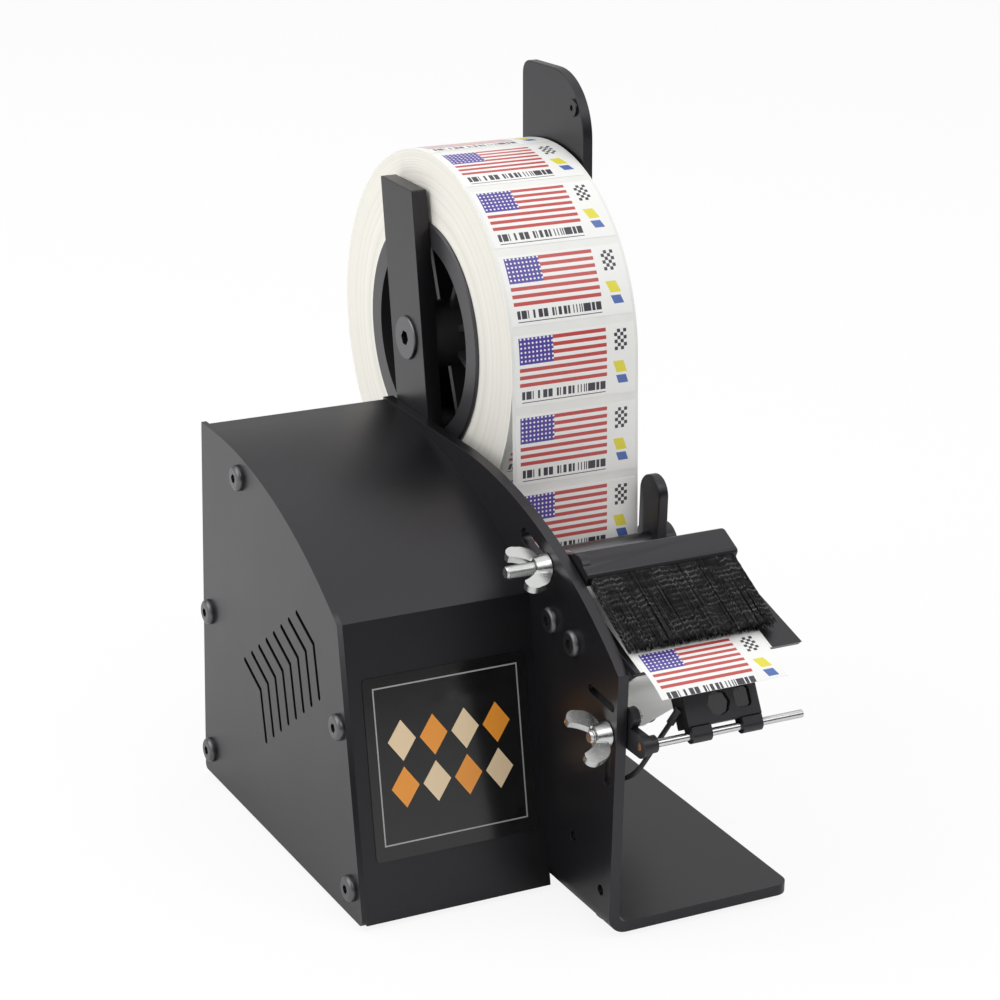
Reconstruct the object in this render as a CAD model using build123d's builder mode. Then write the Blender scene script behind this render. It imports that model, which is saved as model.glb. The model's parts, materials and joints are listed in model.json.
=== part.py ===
"""Desktop label dispenser: bent main plate, motor housing, roll holder, peel deck, brush and label sensor.

Millimetres, +Z up. The origin lies on the table under the middle of the machine.
X = 0 is the left face of the main plate. The housing is on its left, the labels run on its right.
Side views are drawn on side_plane(x): local x runs back from the main plate's front edge,
local y runs up from the underside of its base.
"""
from build123d import *
from math import asin, atan2, cos, degrees, hypot, radians, sin, tan
import os

os.makedirs("parts", exist_ok=True)

# Main plate and housing
FOOT_H = 2.0
FOOT_R = 7.0
FOOT_CHAMFER = 0.6
FOOT_SPOTS = [(12.0, 16.0), (62.0, 14.0), (62.0, 166.0), (-60.0, 58.0), (-60.0, 166.0)]
PLATE_T = 4.0
BEND_R = 3.0
BODY_D = 180.0
TOP_H = 138.0
BASE_W = 73.0
BASE_CORNER = 5.0
ARC_R = 184.0
PLATE_ARC_Y = 117.5
HOUSING_W = 73.0
HOUSING_ARC_Y = 170.0
HOUSING_FRONT_Y = 40.0
HOUSING_LEAN = 12.0
PANEL_T = 2.0
COVER_T = 1.2
COVER_INSET = 0.8
FLOOR_T = 1.5

# Side panel screws, vents and tie bars
PANEL_SCREWS = [(145.3, 127.8), (174.0, 65.9), (174.0, 9.9), (60.0, 66.7), (49.8, 10.8)]
SCREW_HEAD_R = 4.7
SCREW_HEAD_H = 2.2
SCREW_HEAD_ROUND = 1.54
SCREW_R = 2.5
THREAD_R = 2.1
HEX_ACROSS = 3.0
HEX_DEPTH = 1.4
FLAT_HEAD_R = 4.6
FLAT_HEAD_H = 2.1
TIE_THREAD_L = 10.0
THREAD_ROOM = 1.0
TIE_R = 3.0
VENT_COUNT = 8
VENT_W = 1.9
VENT_TOP = (140.8, 59.6)
VENT_BEND = (126.7, 53.4)
VENT_FOOT = (121.9, 35.4)
VENT_STEP = (-6.57, 5.07)

# Floor, rear grille, switch and inlet
FLOOR_FLANGE_L = 90.0
FLOOR_FLANGE_H = 14.0
FLOOR_FLANGE_SET_IN = 16.0
PANEL_CORNER = 2.0
GRILLE_COUNT = 6
GRILLE_PITCH = 6.0
GRILLE_H = 96.0
GRILLE_L = 26.0
GRILLE_W = 2.4
SWITCH_X = -HOUSING_W + 23.0
SWITCH_H = 40.0
SWITCH_W = 19.0
SWITCH_TALL = 13.0
SWITCH_RIM = 1.5
SWITCH_RIM_T = 1.6
SWITCH_RIM_CORNER = 1.0
SWITCH_DEEP = 12.0
SWITCH_WALL = 2.5
SWITCH_FIT = 0.2
ROCKER_L = 12.0
ROCKER_RISE = 5.4
ROCKER_DISH = 1.6
ROCKER_FOOT = (4.32, -1.5)
ROCKER_END_FIT = 0.5
ROCKER_TILT = 8.0
ROCKER_PIN_R = 1.2
ROCKER_PIN_L = 12.0
ROCKER_PIN_ROOM = 0.1
ROCKER_SET_IN = 4.0
JACK_X = -22.0
JACK_R = 5.5
JACK_L = 11.0
JACK_NUT_T = 2.5
JACK_NUT_RIM = 1.8
JACK_BORE_R = 3.1
JACK_PIN_R = 1.0

# Label roll and its holder
ROLL_Y = 168.5
ROLL_H = 163.8
ROLL_R = 68.7
ROLL_X = 11.5
LABEL_W = 50.8
CORE_R = 38.1
CORE_T = 3.0
HUB_WALL = 2.6
HUB_LEN = 46.0
HUB_FLANGE_R = 43.5
HUB_BOSS_R = 12.5
HUB_SPOKES = 8
SPOKE_T = 2.4
SPOKE_SET_IN = 9.0
SPOKE_TURN = 22.5
SPOKE_GAP = 1.0
HUB_CHAMFER = 0.6
AXLE_R = 6.0
AXLE_END_X = 75.0
AXLE_CHAMFER = 1.0
RUN_FIT = 0.06
SIDE_GAP = 0.3
ARM_W = 25.4
ARM_T = 6.0
ARM_LEAN = 11.0
ARM_CORNER = 0.8
ARM_TOP_H = 219.5
ARM_FOOT_H = 90.0
ARM_SCREW_DOWN = [46.0, 66.0]
AXLE_HEAD_R = 8.2
AXLE_HEAD_H = 1.0
AXLE_HEAD_CHAMFER = 0.4
AXLE_BOLT_R = 4.0
AXLE_BOLT_DEEP = 12.0
AXLE_HEX_ACROSS = 5.0
AXLE_HEX_DEPTH = 4.0

# Removable outer plate of the roll holder
GUARD_GAP = 1.0
GUARD_T = 4.0
GUARD_W = 46.8
GUARD_SHIFT = -2.35
GUARD_UP = 95.5
GUARD_DOWN = 52.0
GUARD_LEAN = 3.0
GUARD_FRONT_R = 24.0
GUARD_BACK_R = 5.0
GUARD_COLLAR_R = 11.0
GUARD_COLLAR_L = 7.9
COLLAR_KNOB_L = 7.0
KNOB_LIFT = 0.6
KNURL_COUNT = 12
KNURL_R = 0.35
RIVET_SPOT = (154.7, 247.5)
RIVET_R = 3.2
RIVET_H = 0.8
RIVET_SOCKET_R = 1.2
RIVET_SOCKET_DEEP = 0.6

# Label path
PAPER_T = 0.3
WEB_GAP = 0.1
NOSE_GAP = 0.4
WEB_DRIFT = 5.8
GUIDE_ROD_Y = 90.0
GUIDE_ROD_H = 100.0
GUIDE_ROD_R = 5.0
GUIDE_ROD_END_X = 72.0
GUIDE_ROD_CHAMFER = 0.8
WEB_GUIDE_W = 14.0
WEB_GUIDE_T = 4.0
WEB_GUIDE_TOP_H = 127.0
WEB_GUIDE_GAP = 1.0
WEB_COLLAR_L = 4.4
WEB_COLLAR_R = 8.0
WEB_GUIDE_ROUND = 0.6
GUIDE_SCREW_LIFT = 1.5
GUIDE_SCREW_R = 1.5
GUIDE_KNOB_R = 3.2
GUIDE_KNOB_L = 5.0
DECK_NOSE_Y = -4.3
DECK_NOSE_H = 97.8
DECK_SLOPE = 14.6
DECK_BACK_Y = 52.0
DECK_T = 3.0
DECK_FLANGE_T = 2.5
DECK_END_X = 68.5
DECK_SCREWS = [(46.0, 98.4), (30.5, 95.9)]
DECK_FLANGE_ROOM = 7.0
DECK_FLANGE_ROUND = 3.0
DECK_NOSE_ROUND = 0.4
DECK_BACK_ROUND = 2.0
DECK_BACK_TRIM = 1.0
LABEL_FACE_W = 48.4
LABEL_TIP_Y = -16.5
LABEL_TIP_H = 92.6

# Brush
BRUSH_BAR_W = 12.2
BRUSH_BAR_T = 6.0
BRUSH_BAR_TILT = 25.3
BRUSH_BAR_FRONT = (29.5, 119.5)
BRUSH_END_X = 64.0
BRUSH_STUD = (50.4, 116.5)
BRUSH_BAR_ROUND = 1.8
BRUSH_END_ROUND = 1.5
BRUSH_EAR_W = 8.0
BRUSH_SLOT_TRAVEL = 17.0
BRUSH_SLOT_TILT = 18.0
BRUSH_EAR_T = 3.0
BRISTLE_L = 31.5
BRISTLE_DROP = 27.4
BRISTLE_TIP_CUT = 75.0
BRISTLE_ROOT_T = 4.4
BRISTLE_TIP_T = 3.6
BRISTLE_SET_IN = 1.6

# Label sensor
SENSOR_ROD_Y = -7.4
SENSOR_ROD_DROP = 25.1
SENSOR_ROD_H = DECK_NOSE_H - SENSOR_ROD_DROP
SENSOR_ROD_R = 1.4
SENSOR_ROD_END_X = 68.0
SENSOR_X = 23.3
SENSOR_W = 28.4
SENSOR_H = 11.6
SENSOR_D = 8.0
SENSOR_ROUND = 0.6
SENSOR_TILT = 30.0
SENSOR_LIFT = 2.6
CLIP_X = [27.6, 47.4]
CLIP_W = 7.6
CLIP_R = 2.6
SENSOR_STUD = (6.0, SENSOR_ROD_H)
SENSOR_SLOT_TRAVEL = 8.0
WINDOW_DEEP = 2.2
ROUND_WINDOW = (0.46, 0.55, 4.4)
SQUARE_WINDOW = (0.79, 0.6, 6.2, 7.0)
WINDOW_CORNER = 1.5
LENS_GAP = 0.2
LENS_T = 1.2
SENSOR_FACE = 2.0
BRACKET_T = 3.0
BRACKET_W = 8.0
BRACKET_EAR = (-5.5, 7.2)
BRACKET_EAR_W = 7.0
BRACKET_BARREL_R = 3.0
BRACKET_BARREL_L = 3.0
BRACKET_SCREW_R = 2.0
BRACKET_SCREW_H = 1.6
BRACKET_SCREW_SLOT = (0.6, 0.7)
SIGHT_SLOT = (18.4, 84.2)
SIGHT_SLOT_END = (3.5, 83.1)
SIGHT_SLOT_W = 3.0
TRIM_SLOT = (5.2, 60.0)
TRIM_SLOT_L = 12.0
TRIM_SLOT_W = 3.5
PLATE_HOLES = [(26.3, 25.6), (6.5, 14.4)]
PLATE_HOLE_R = 1.9

# Wing nuts and studs
STUD_R = 2.5
STUD_FIT = 0.3
STUD_THREAD_FIT = 0.1
STUD_CHAMFER = 0.7
STUD_HEAD_RIM = 1.6
STUD_HEAD_T = 2.0
WING_SPAN = 21.0
WING_H = 11.5
WING_T = 2.6
WING_HUB_R = 4.6
WING_HUB_H = 5.0
WING_HUB_TAPER = 12.0
UPPER_STUD_OUT = 16.0
LOWER_STUD_OUT = 7.0
UPPER_NUT_TURN = 20.0
LOWER_NUT_TURN = 31.0
INNER_GAP = 0.4

# Liner drive
DRIVE_Y = 82.0
DRIVE_H = 45.5
DRIVE_R = 11.0
DRIVE_CORE_R = 7.5
DRIVE_SHAFT_R = 3.0
DRIVE_X = 9.0
DRIVE_END_X = 61.0
DRIVE_SHAFT_OUT = 2.0
RUBBER_SET_IN = 1.0
PINCH_Y = 84.0
PINCH_R = 7.0
PINCH_X = 10.0
PINCH_END_X = 40.0
PINCH_PIN_R = 2.5
PINCH_PIVOT = (60.0, 21.0)
PINCH_ARM_T = 3.0
PINCH_ARM_W = 11.0
PINCH_ARM_GAP = 1.0
PINCH_PIN_HEAD_R = 6.5
PINCH_PIN_HEAD_T = 1.5
SPRING_ROOM = 5.0
SPRING_WIRE_R = 0.5
SPRING_R = 3.9
SPRING_TURNS = 3
SPRING_PITCH = 1.3
SPRING_LAP = 0.02
NIP_GAP = 0.3
TAIL_LEVEL_Y = 118.0
TAIL_END = (150.0, 14.0)
MOTOR_R = 18.5
MOTOR_CASE_STEP = 1.0
GEARBOX_L = 24.0
MOTOR_L = 33.0
MOTOR_SHAFT_L = 13.0
MOTOR_SCREW_R = 1.5
MOTOR_SCREW_SCALE = MOTOR_SCREW_R / SCREW_R
MOTOR_SCREW_CIRCLE = 15.0
MOTOR_THREAD_L = 4.0
MOTOR_BOSS_R = 5.0
MOTOR_BOSS_L = 3.0
MOTOR_TAB = (2.0, 5.0)
MOTOR_TAB_OUT = 9.0
BUSHING_R = 8.0
BUSHING_RIM_R = 10.5
BUSHING_RIM_T = 2.0

# Control board
STANDOFF_L = 11.0
BOARD_X = PANEL_T - HOUSING_W + STANDOFF_L
BOARD_Y = 136.0
BOARD_H = 70.0
BOARD_W = 46.0
BOARD_TALL = 76.0
BOARD_T = 1.6
BOARD_CORNER = 2.0
BOARD_HOLE_SET_IN = 4.0
BOARD_HOLE_R = 1.6
STANDOFF_R = 3.0
CHIP = (12.0, 9.0)
CHIP_SPOTS = [(-10.0, 22.0), (8.0, 22.0), (8.0, -16.0)]
COIL_SPOT = (-12.0, -14.0)
COIL_R = 5.0
CHIP_H = 8.0

# Sensor lead
LEAD_R = 0.9
LEAD_BEND_R = 12.0
LEAD_GLAND_L = 3.0
LEAD_GLAND_R = 1.4
LEAD_X = 8.2
LEAD_H = SENSOR_ROD_H - 20.7
LEAD_SOCKET_Y = 30.0
LEAD_SOCKET_L = 16.0
LEAD_SOCKET_H = 8.0
LEAD_SOCKET_ROUND = 1.0
LEAD_SOCKET_WALL = 2.0
LEAD_PLUGGED = 4.0
LEAD_POINTS = [
    (SENSOR_X - LEAD_GLAND_L, SENSOR_ROD_Y + 7.0, SENSOR_ROD_H + 2.5),
    (LEAD_X, SENSOR_ROD_Y + 12.4, LEAD_H),
    (LEAD_X, LEAD_SOCKET_Y + LEAD_PLUGGED, LEAD_H),
]

# Decal on the sloping front
DECAL_LEFT = HOUSING_W - 7.5
DECAL_W = HOUSING_W - 11.0
DECAL_UP = 21.0
DECAL_L = 64.0
DECAL_T = 0.3
DECAL_CORNER = 1.5

FRONT_Y = -(ROLL_Y + ROLL_R + LABEL_TIP_Y) / 2
WEB_END_X = ROLL_X + LABEL_W
LINER_X = ROLL_X - WEB_DRIFT
ROLL_CENTRE = (ROLL_Y, ROLL_H)


def side_plane(x):
    """Plane of a side view at x, looking along X, with its extrusions going right."""
    return Plane(origin=(x, FRONT_Y, FOOT_H), x_dir=(0, 1, 0), z_dir=(1, 0, 0))


def front_plane(y):
    """Plane of a front view at y behind the plate's front edge, with its extrusions going forward."""
    return Plane(origin=(0, FRONT_Y + y, FOOT_H), x_dir=(1, 0, 0), z_dir=(0, -1, 0))


def level_plane(h):
    """Level plane at height h above the base's underside: local x is X, local y runs back."""
    return Plane(origin=(0, FRONT_Y, FOOT_H + h), x_dir=(1, 0, 0), z_dir=(0, 0, 1))


def at_angle(centre, radius, angle):
    """Point of a side view at a distance and an angle, in degrees above the back direction."""
    return (centre[0] + radius * cos(radians(angle)), centre[1] + radius * sin(radians(angle)))


def deck_height(y):
    """Height of the deck's upper face at y."""
    return DECK_NOSE_H + (y - DECK_NOSE_Y) * tan(radians(DECK_SLOPE))


def save(part, name):
    """Label a finished piece and write its STEP file."""
    part.label = name
    export_step(part, f"parts/{name}.step")


def slot_between(start, end, width):
    """Add a round-ended slot between two points of the sketch that is open."""
    run = (end[0] - start[0], end[1] - start[1])
    middle = ((start[0] + end[0]) / 2, (start[1] + end[1]) / 2)
    with Locations(middle):
        SlotCenterToCenter(hypot(*run), width, rotation=degrees(atan2(run[1], run[0])))


def housing_outline(inset):
    """Add the housing's side view, drawn in by inset on its front, top and back."""
    front = HOUSING_FRONT_Y + inset / cos(radians(HOUSING_LEAN))
    top = TOP_H - inset
    back = BODY_D - inset
    with Locations((HOUSING_ARC_Y, TOP_H - ARC_R)):
        Circle(ARC_R - inset)
    with Locations((HOUSING_ARC_Y, 0)):
        Rectangle(back - HOUSING_ARC_Y, top, align=(Align.MIN, Align.MIN))
    lean_top = front + top * tan(radians(HOUSING_LEAN))
    Polygon((front, 0), (lean_top, top), (back, top), (back, 0), align=None, mode=Mode.INTERSECT)


def button_screws(x, points, direction, plate_t, thread_l, size=1.0):
    """Button screws whose heads rest on the plane x and point in the given direction.

    The shank fills the hole of a plate plate_t thick, and the thread goes on for thread_l.
    """
    with BuildPart() as screws:
        with BuildSketch(side_plane(x)):
            with Locations(*points):
                Circle(SCREW_HEAD_R * size)
        extrude(amount=direction * SCREW_HEAD_H * size)
        rim = screws.edges().filter_by(GeomType.CIRCLE).group_by(Axis.X)[0 if direction < 0 else -1]
        fillet(rim, SCREW_HEAD_ROUND * size)
        with BuildSketch(side_plane(x + direction * SCREW_HEAD_H * size)):
            with Locations(*points):
                RegularPolygon(HEX_ACROSS / 2 * size, 6, major_radius=False)
        extrude(amount=-direction * HEX_DEPTH * size, mode=Mode.SUBTRACT)
        with BuildSketch(side_plane(x)):
            with Locations(*points):
                Circle(SCREW_R * size)
        extrude(amount=-direction * plate_t)
        with BuildSketch(side_plane(x - direction * plate_t)):
            with Locations(*points):
                Circle(THREAD_R * size)
        extrude(amount=-direction * thread_l)
    return screws.part


# Main plate: one sheet bent into a wall and a base
BRUSH_SLOT_END = at_angle(BRUSH_STUD, BRUSH_SLOT_TRAVEL, BRUSH_SLOT_TILT)
SENSOR_SLOT_END = (SENSOR_STUD[0] + SENSOR_SLOT_TRAVEL, SENSOR_STUD[1])
ARM_SCREWS = [at_angle(ROLL_CENTRE, -down, 90 - ARM_LEAN) for down in ARM_SCREW_DOWN]
PINCH_H = DRIVE_H - DRIVE_R - PAPER_T - 2 * NIP_GAP - PINCH_R
MOTOR_SCREWS = [at_angle((DRIVE_Y, DRIVE_H), MOTOR_SCREW_CIRCLE, angle) for angle in (0, 90, 180)]

with BuildPart() as main_plate:
    with BuildSketch(front_plane(0)) as bent:
        Polygon(
            (0, 0),
            (BASE_W, 0),
            (BASE_W, PLATE_T),
            (PLATE_T, PLATE_T),
            (PLATE_T, TOP_H),
            (0, TOP_H),
            align=None,
        )
        fillet(bent.vertices().sort_by_distance((0, 0))[0], BEND_R + PLATE_T)
        fillet(bent.vertices().sort_by_distance((PLATE_T, PLATE_T))[0], BEND_R)
    extrude(amount=-BODY_D)
    with BuildSketch(side_plane(0)):
        with Locations((PLATE_ARC_Y, TOP_H)):
            Rectangle(2 * PLATE_ARC_Y, 2 * PLATE_ARC_Y, align=(Align.MAX, Align.CENTER))
        with Locations((PLATE_ARC_Y, TOP_H - ARC_R)):
            Circle(ARC_R, mode=Mode.SUBTRACT)
        with Locations((PLATE_ARC_Y, 0)):
            Rectangle(2 * PLATE_ARC_Y, TOP_H / 2, align=(Align.MAX, Align.MIN), mode=Mode.SUBTRACT)
    extrude(amount=PLATE_T, mode=Mode.SUBTRACT)
    with BuildSketch(side_plane(0)):
        slot_between(BRUSH_STUD, BRUSH_SLOT_END, 2 * (STUD_R + STUD_FIT))
        slot_between(SENSOR_STUD, SENSOR_SLOT_END, 2 * (STUD_R + STUD_FIT))
        slot_between(SIGHT_SLOT, SIGHT_SLOT_END, SIGHT_SLOT_W)
        with Locations(TRIM_SLOT):
            SlotOverall(TRIM_SLOT_L, TRIM_SLOT_W, rotation=90)
        with Locations(*PLATE_HOLES):
            Circle(PLATE_HOLE_R)
        with Locations(*DECK_SCREWS, *ARM_SCREWS, *PANEL_SCREWS):
            Circle(SCREW_R)
        with Locations((DRIVE_Y, DRIVE_H)):
            Circle(BUSHING_R)
        with Locations((GUIDE_ROD_Y, GUIDE_ROD_H), PINCH_PIVOT):
            Circle(PINCH_PIN_R)
        with Locations(*MOTOR_SCREWS):
            Circle(MOTOR_SCREW_R)
    extrude(amount=PLATE_T, mode=Mode.SUBTRACT)
    with Locations(*[side_plane(PLATE_T).from_local_coords((*spot, 0)) for spot in PANEL_SCREWS]):
        with Locations(Rotation(0, 90, 0)):
            Cone(
                SCREW_R,
                FLAT_HEAD_R,
                FLAT_HEAD_H,
                align=(Align.CENTER, Align.CENTER, Align.MAX),
                mode=Mode.SUBTRACT,
            )
    corners = main_plate.edges().filter_by(Axis.Z).group_by(Axis.X)[-1]
    fillet(corners, BASE_CORNER)
save(main_plate.part, "main_plate")

with BuildPart() as feet:
    with BuildSketch(level_plane(0)):
        with Locations(*FOOT_SPOTS):
            Circle(FOOT_R)
    extrude(amount=-FOOT_H)
    chamfer(feet.edges().filter_by(GeomType.CIRCLE).group_by(Axis.Z)[0], FOOT_CHAMFER)
save(feet.part, "rubber_feet")


# Housing: wrap-round cover, side panel with vents, floor and tie bars
with BuildPart() as cover:
    with BuildSketch(side_plane(PANEL_T - HOUSING_W)):
        housing_outline(COVER_INSET)
    extrude(amount=HOUSING_W - PANEL_T)
    with BuildSketch(side_plane(PANEL_T - HOUSING_W)):
        housing_outline(COVER_INSET + COVER_T)
    extrude(amount=HOUSING_W - PANEL_T, mode=Mode.SUBTRACT)
    with BuildSketch(front_plane(BODY_D)):
        with Locations((SWITCH_X, SWITCH_H)):
            Rectangle(SWITCH_W, SWITCH_TALL)
        with Locations((JACK_X, SWITCH_H)):
            Circle(JACK_R)
        with GridLocations(GRILLE_PITCH, 0, GRILLE_COUNT, 1):
            with Locations((-HOUSING_W / 2, GRILLE_H)):
                SlotOverall(GRILLE_L, GRILLE_W, rotation=90)
    extrude(amount=2 * (COVER_T + COVER_INSET), mode=Mode.SUBTRACT)
save(cover.part, "housing_cover")

with BuildPart() as side_panel:
    with BuildSketch(side_plane(-HOUSING_W)):
        housing_outline(0)
    extrude(amount=PANEL_T)
    with BuildSketch(side_plane(-HOUSING_W)):
        for index in range(VENT_COUNT):
            shift = (index * VENT_STEP[0], index * VENT_STEP[1])
            top, bend, foot = [(p[0] + shift[0], p[1] + shift[1]) for p in (VENT_TOP, VENT_BEND, VENT_FOOT)]
            slot_between(top, bend, VENT_W)
            slot_between(bend, foot, VENT_W)
        with Locations(*PANEL_SCREWS):
            Circle(SCREW_R)
    extrude(amount=PANEL_T, mode=Mode.SUBTRACT)
    fillet(side_panel.edges().filter_by(Axis.X).group_by(Axis.Z)[0], PANEL_CORNER)
save(side_panel.part, "side_panel")

with BuildPart() as housing_floor:
    floor_front = HOUSING_FRONT_Y + 2 * (COVER_INSET + COVER_T)
    floor_back = BODY_D - COVER_INSET - COVER_T
    with BuildSketch(level_plane(0)):
        with Locations((PANEL_T - HOUSING_W, floor_front)):
            Rectangle(HOUSING_W - PANEL_T, floor_back - floor_front, align=(Align.MIN, Align.MIN))
    extrude(amount=FLOOR_T)
    for wall_x in (PANEL_T - HOUSING_W, -FLOOR_T):
        with BuildSketch(level_plane(0)):
            with Locations((wall_x, floor_front + FLOOR_FLANGE_SET_IN)):
                Rectangle(FLOOR_T, FLOOR_FLANGE_L, align=(Align.MIN, Align.MIN))
        extrude(amount=FLOOR_FLANGE_H)
save(housing_floor.part, "housing_floor")

with BuildPart() as tie_bars:
    with BuildSketch(side_plane(PANEL_T - HOUSING_W)):
        with Locations(*PANEL_SCREWS):
            Circle(TIE_R)
    extrude(amount=HOUSING_W - PANEL_T)
    for end_x, inward in ((PANEL_T - HOUSING_W, 1), (0, -1)):
        with BuildSketch(side_plane(end_x)):
            with Locations(*PANEL_SCREWS):
                Circle(THREAD_R)
        extrude(amount=inward * TIE_THREAD_L, mode=Mode.SUBTRACT)
save(tie_bars.part, "tie_bars")

with BuildPart() as plate_screws:
    for spot in PANEL_SCREWS:
        with Locations(side_plane(PLATE_T).from_local_coords((*spot, 0))):
            with Locations(Rotation(0, 90, 0)):
                Cone(SCREW_R, FLAT_HEAD_R, FLAT_HEAD_H, align=(Align.CENTER, Align.CENTER, Align.MAX))
    with BuildSketch(side_plane(PLATE_T - FLAT_HEAD_H)):
        with Locations(*PANEL_SCREWS):
            Circle(SCREW_R)
    extrude(amount=FLAT_HEAD_H - PLATE_T)
    with BuildSketch(side_plane(0)):
        with Locations(*PANEL_SCREWS):
            Circle(THREAD_R)
    extrude(amount=THREAD_ROOM - TIE_THREAD_L)
    with BuildSketch(side_plane(PLATE_T)):
        with Locations(*PANEL_SCREWS):
            RegularPolygon(HEX_ACROSS / 2, 6, major_radius=False)
    extrude(amount=-HEX_DEPTH, mode=Mode.SUBTRACT)
save(plate_screws.part, "plate_tie_screws")

save(button_screws(-HOUSING_W, PANEL_SCREWS, -1, PANEL_T, TIE_THREAD_L - THREAD_ROOM), "side_panel_screws")
save(button_screws(0, DECK_SCREWS, -1, PLATE_T, DECK_FLANGE_T), "deck_screws")
save(button_screws(0, ARM_SCREWS, -1, PLATE_T, ARM_T - THREAD_ROOM), "arm_screws")
save(button_screws(PLATE_T, MOTOR_SCREWS, 1, PLATE_T, MOTOR_THREAD_L, MOTOR_SCREW_SCALE), "motor_screws")

DECAL_PLANE = Plane(
    origin=(-DECAL_LEFT, FRONT_Y + HOUSING_FRONT_Y + COVER_INSET / cos(radians(HOUSING_LEAN)), FOOT_H),
    x_dir=(1, 0, 0),
    z_dir=(0, -cos(radians(HOUSING_LEAN)), sin(radians(HOUSING_LEAN))),
)
with BuildPart() as front_decal:
    with BuildSketch(DECAL_PLANE):
        with Locations((0, DECAL_UP)):
            RectangleRounded(DECAL_W, DECAL_L, DECAL_CORNER, align=(Align.MIN, Align.MIN))
    extrude(amount=DECAL_T)
save(front_decal.part, "front_decal")

ROCKER_AXIS_Y = BODY_D - COVER_INSET - ROCKER_SET_IN
ROCKER_PLANE = Plane(
    origin=(SWITCH_X, FRONT_Y + ROCKER_AXIS_Y, FOOT_H + SWITCH_H),
    x_dir=(cos(radians(ROCKER_TILT)), -sin(radians(ROCKER_TILT)), 0),
    z_dir=(0, 0, 1),
)
with BuildPart() as power_switch:
    with BuildSketch(front_plane(BODY_D - COVER_INSET)):
        with Locations((SWITCH_X, SWITCH_H)):
            RectangleRounded(SWITCH_W + 2 * SWITCH_RIM, SWITCH_TALL + 2 * SWITCH_RIM, SWITCH_RIM_CORNER)
            Rectangle(SWITCH_W - 2 * SWITCH_WALL, SWITCH_TALL - SWITCH_WALL, mode=Mode.SUBTRACT)
    extrude(amount=-SWITCH_RIM_T)
    with BuildSketch(front_plane(BODY_D - COVER_INSET)):
        with Locations((SWITCH_X, SWITCH_H)):
            Rectangle(SWITCH_W - 2 * SWITCH_FIT, SWITCH_TALL - 2 * SWITCH_FIT)
            Rectangle(SWITCH_W - 2 * SWITCH_WALL, SWITCH_TALL - SWITCH_WALL, mode=Mode.SUBTRACT)
    extrude(amount=SWITCH_DEEP)
    with BuildSketch(front_plane(BODY_D - COVER_INSET - SWITCH_DEEP)):
        with Locations((SWITCH_X, SWITCH_H)):
            Rectangle(SWITCH_W - 2 * SWITCH_FIT, SWITCH_TALL - 2 * SWITCH_FIT)
    extrude(amount=SWITCH_RIM_T)
    with BuildSketch(ROCKER_PLANE):
        Circle(ROCKER_PIN_R + RUN_FIT)
    extrude(amount=ROCKER_PIN_L / 2 + ROCKER_PIN_ROOM, both=True, mode=Mode.SUBTRACT)
save(power_switch.part, "power_switch_body")

with BuildPart() as rocker:
    with BuildSketch(ROCKER_PLANE):
        with BuildLine():
            left = (-ROCKER_L / 2, ROCKER_RISE)
            right = (ROCKER_L / 2, ROCKER_RISE)
            Polyline(right, ROCKER_FOOT, (-ROCKER_FOOT[0], ROCKER_FOOT[1]), left)
            ThreePointArc(left, (0, ROCKER_RISE - ROCKER_DISH), right)
        make_face()
    extrude(amount=(SWITCH_TALL - SWITCH_WALL) / 2 - ROCKER_END_FIT, both=True)
    with BuildSketch(ROCKER_PLANE):
        Circle(ROCKER_PIN_R)
    extrude(amount=ROCKER_PIN_L / 2, both=True)
save(rocker.part, "power_rocker")

with BuildPart() as jack:
    with BuildSketch(front_plane(BODY_D - COVER_INSET)):
        with Locations((JACK_X, SWITCH_H)):
            Circle(JACK_R - SWITCH_FIT / 2)
    extrude(amount=JACK_L)
    with BuildSketch(front_plane(BODY_D - COVER_INSET)):
        with Locations((JACK_X, SWITCH_H)):
            RegularPolygon(JACK_R + JACK_NUT_RIM, 6)
    extrude(amount=-JACK_NUT_T)
    with BuildSketch(front_plane(BODY_D - COVER_INSET + JACK_NUT_T)):
        with Locations((JACK_X, SWITCH_H)):
            Circle(JACK_BORE_R)
            Circle(JACK_PIN_R, mode=Mode.SUBTRACT)
    extrude(amount=JACK_L, mode=Mode.SUBTRACT)
save(jack.part, "power_jack")


# Inside the housing: gear motor and control board
with BuildPart() as gear_motor:
    with BuildSketch(side_plane(0)):
        with Locations((DRIVE_Y, DRIVE_H)):
            Circle(MOTOR_R)
    extrude(amount=-GEARBOX_L)
    with BuildSketch(side_plane(-GEARBOX_L)):
        with Locations((DRIVE_Y, DRIVE_H)):
            Circle(MOTOR_R - MOTOR_CASE_STEP)
    extrude(amount=-MOTOR_L)
    with BuildSketch(side_plane(-GEARBOX_L - MOTOR_L)):
        with Locations((DRIVE_Y, DRIVE_H)):
            Circle(MOTOR_BOSS_R)
        with Locations((DRIVE_Y - MOTOR_TAB_OUT, DRIVE_H), (DRIVE_Y + MOTOR_TAB_OUT, DRIVE_H)):
            Rectangle(*MOTOR_TAB)
    extrude(amount=-MOTOR_BOSS_L)
    with BuildSketch(side_plane(0)):
        with Locations((DRIVE_Y, DRIVE_H)):
            Circle(DRIVE_SHAFT_R + RUN_FIT)
    extrude(amount=-MOTOR_SHAFT_L - THREAD_ROOM, mode=Mode.SUBTRACT)
    with BuildSketch(side_plane(0)):
        with Locations(*MOTOR_SCREWS):
            Circle(THREAD_R * MOTOR_SCREW_SCALE)
    extrude(amount=-MOTOR_THREAD_L - THREAD_ROOM, mode=Mode.SUBTRACT)
save(gear_motor.part, "gear_motor")

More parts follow.
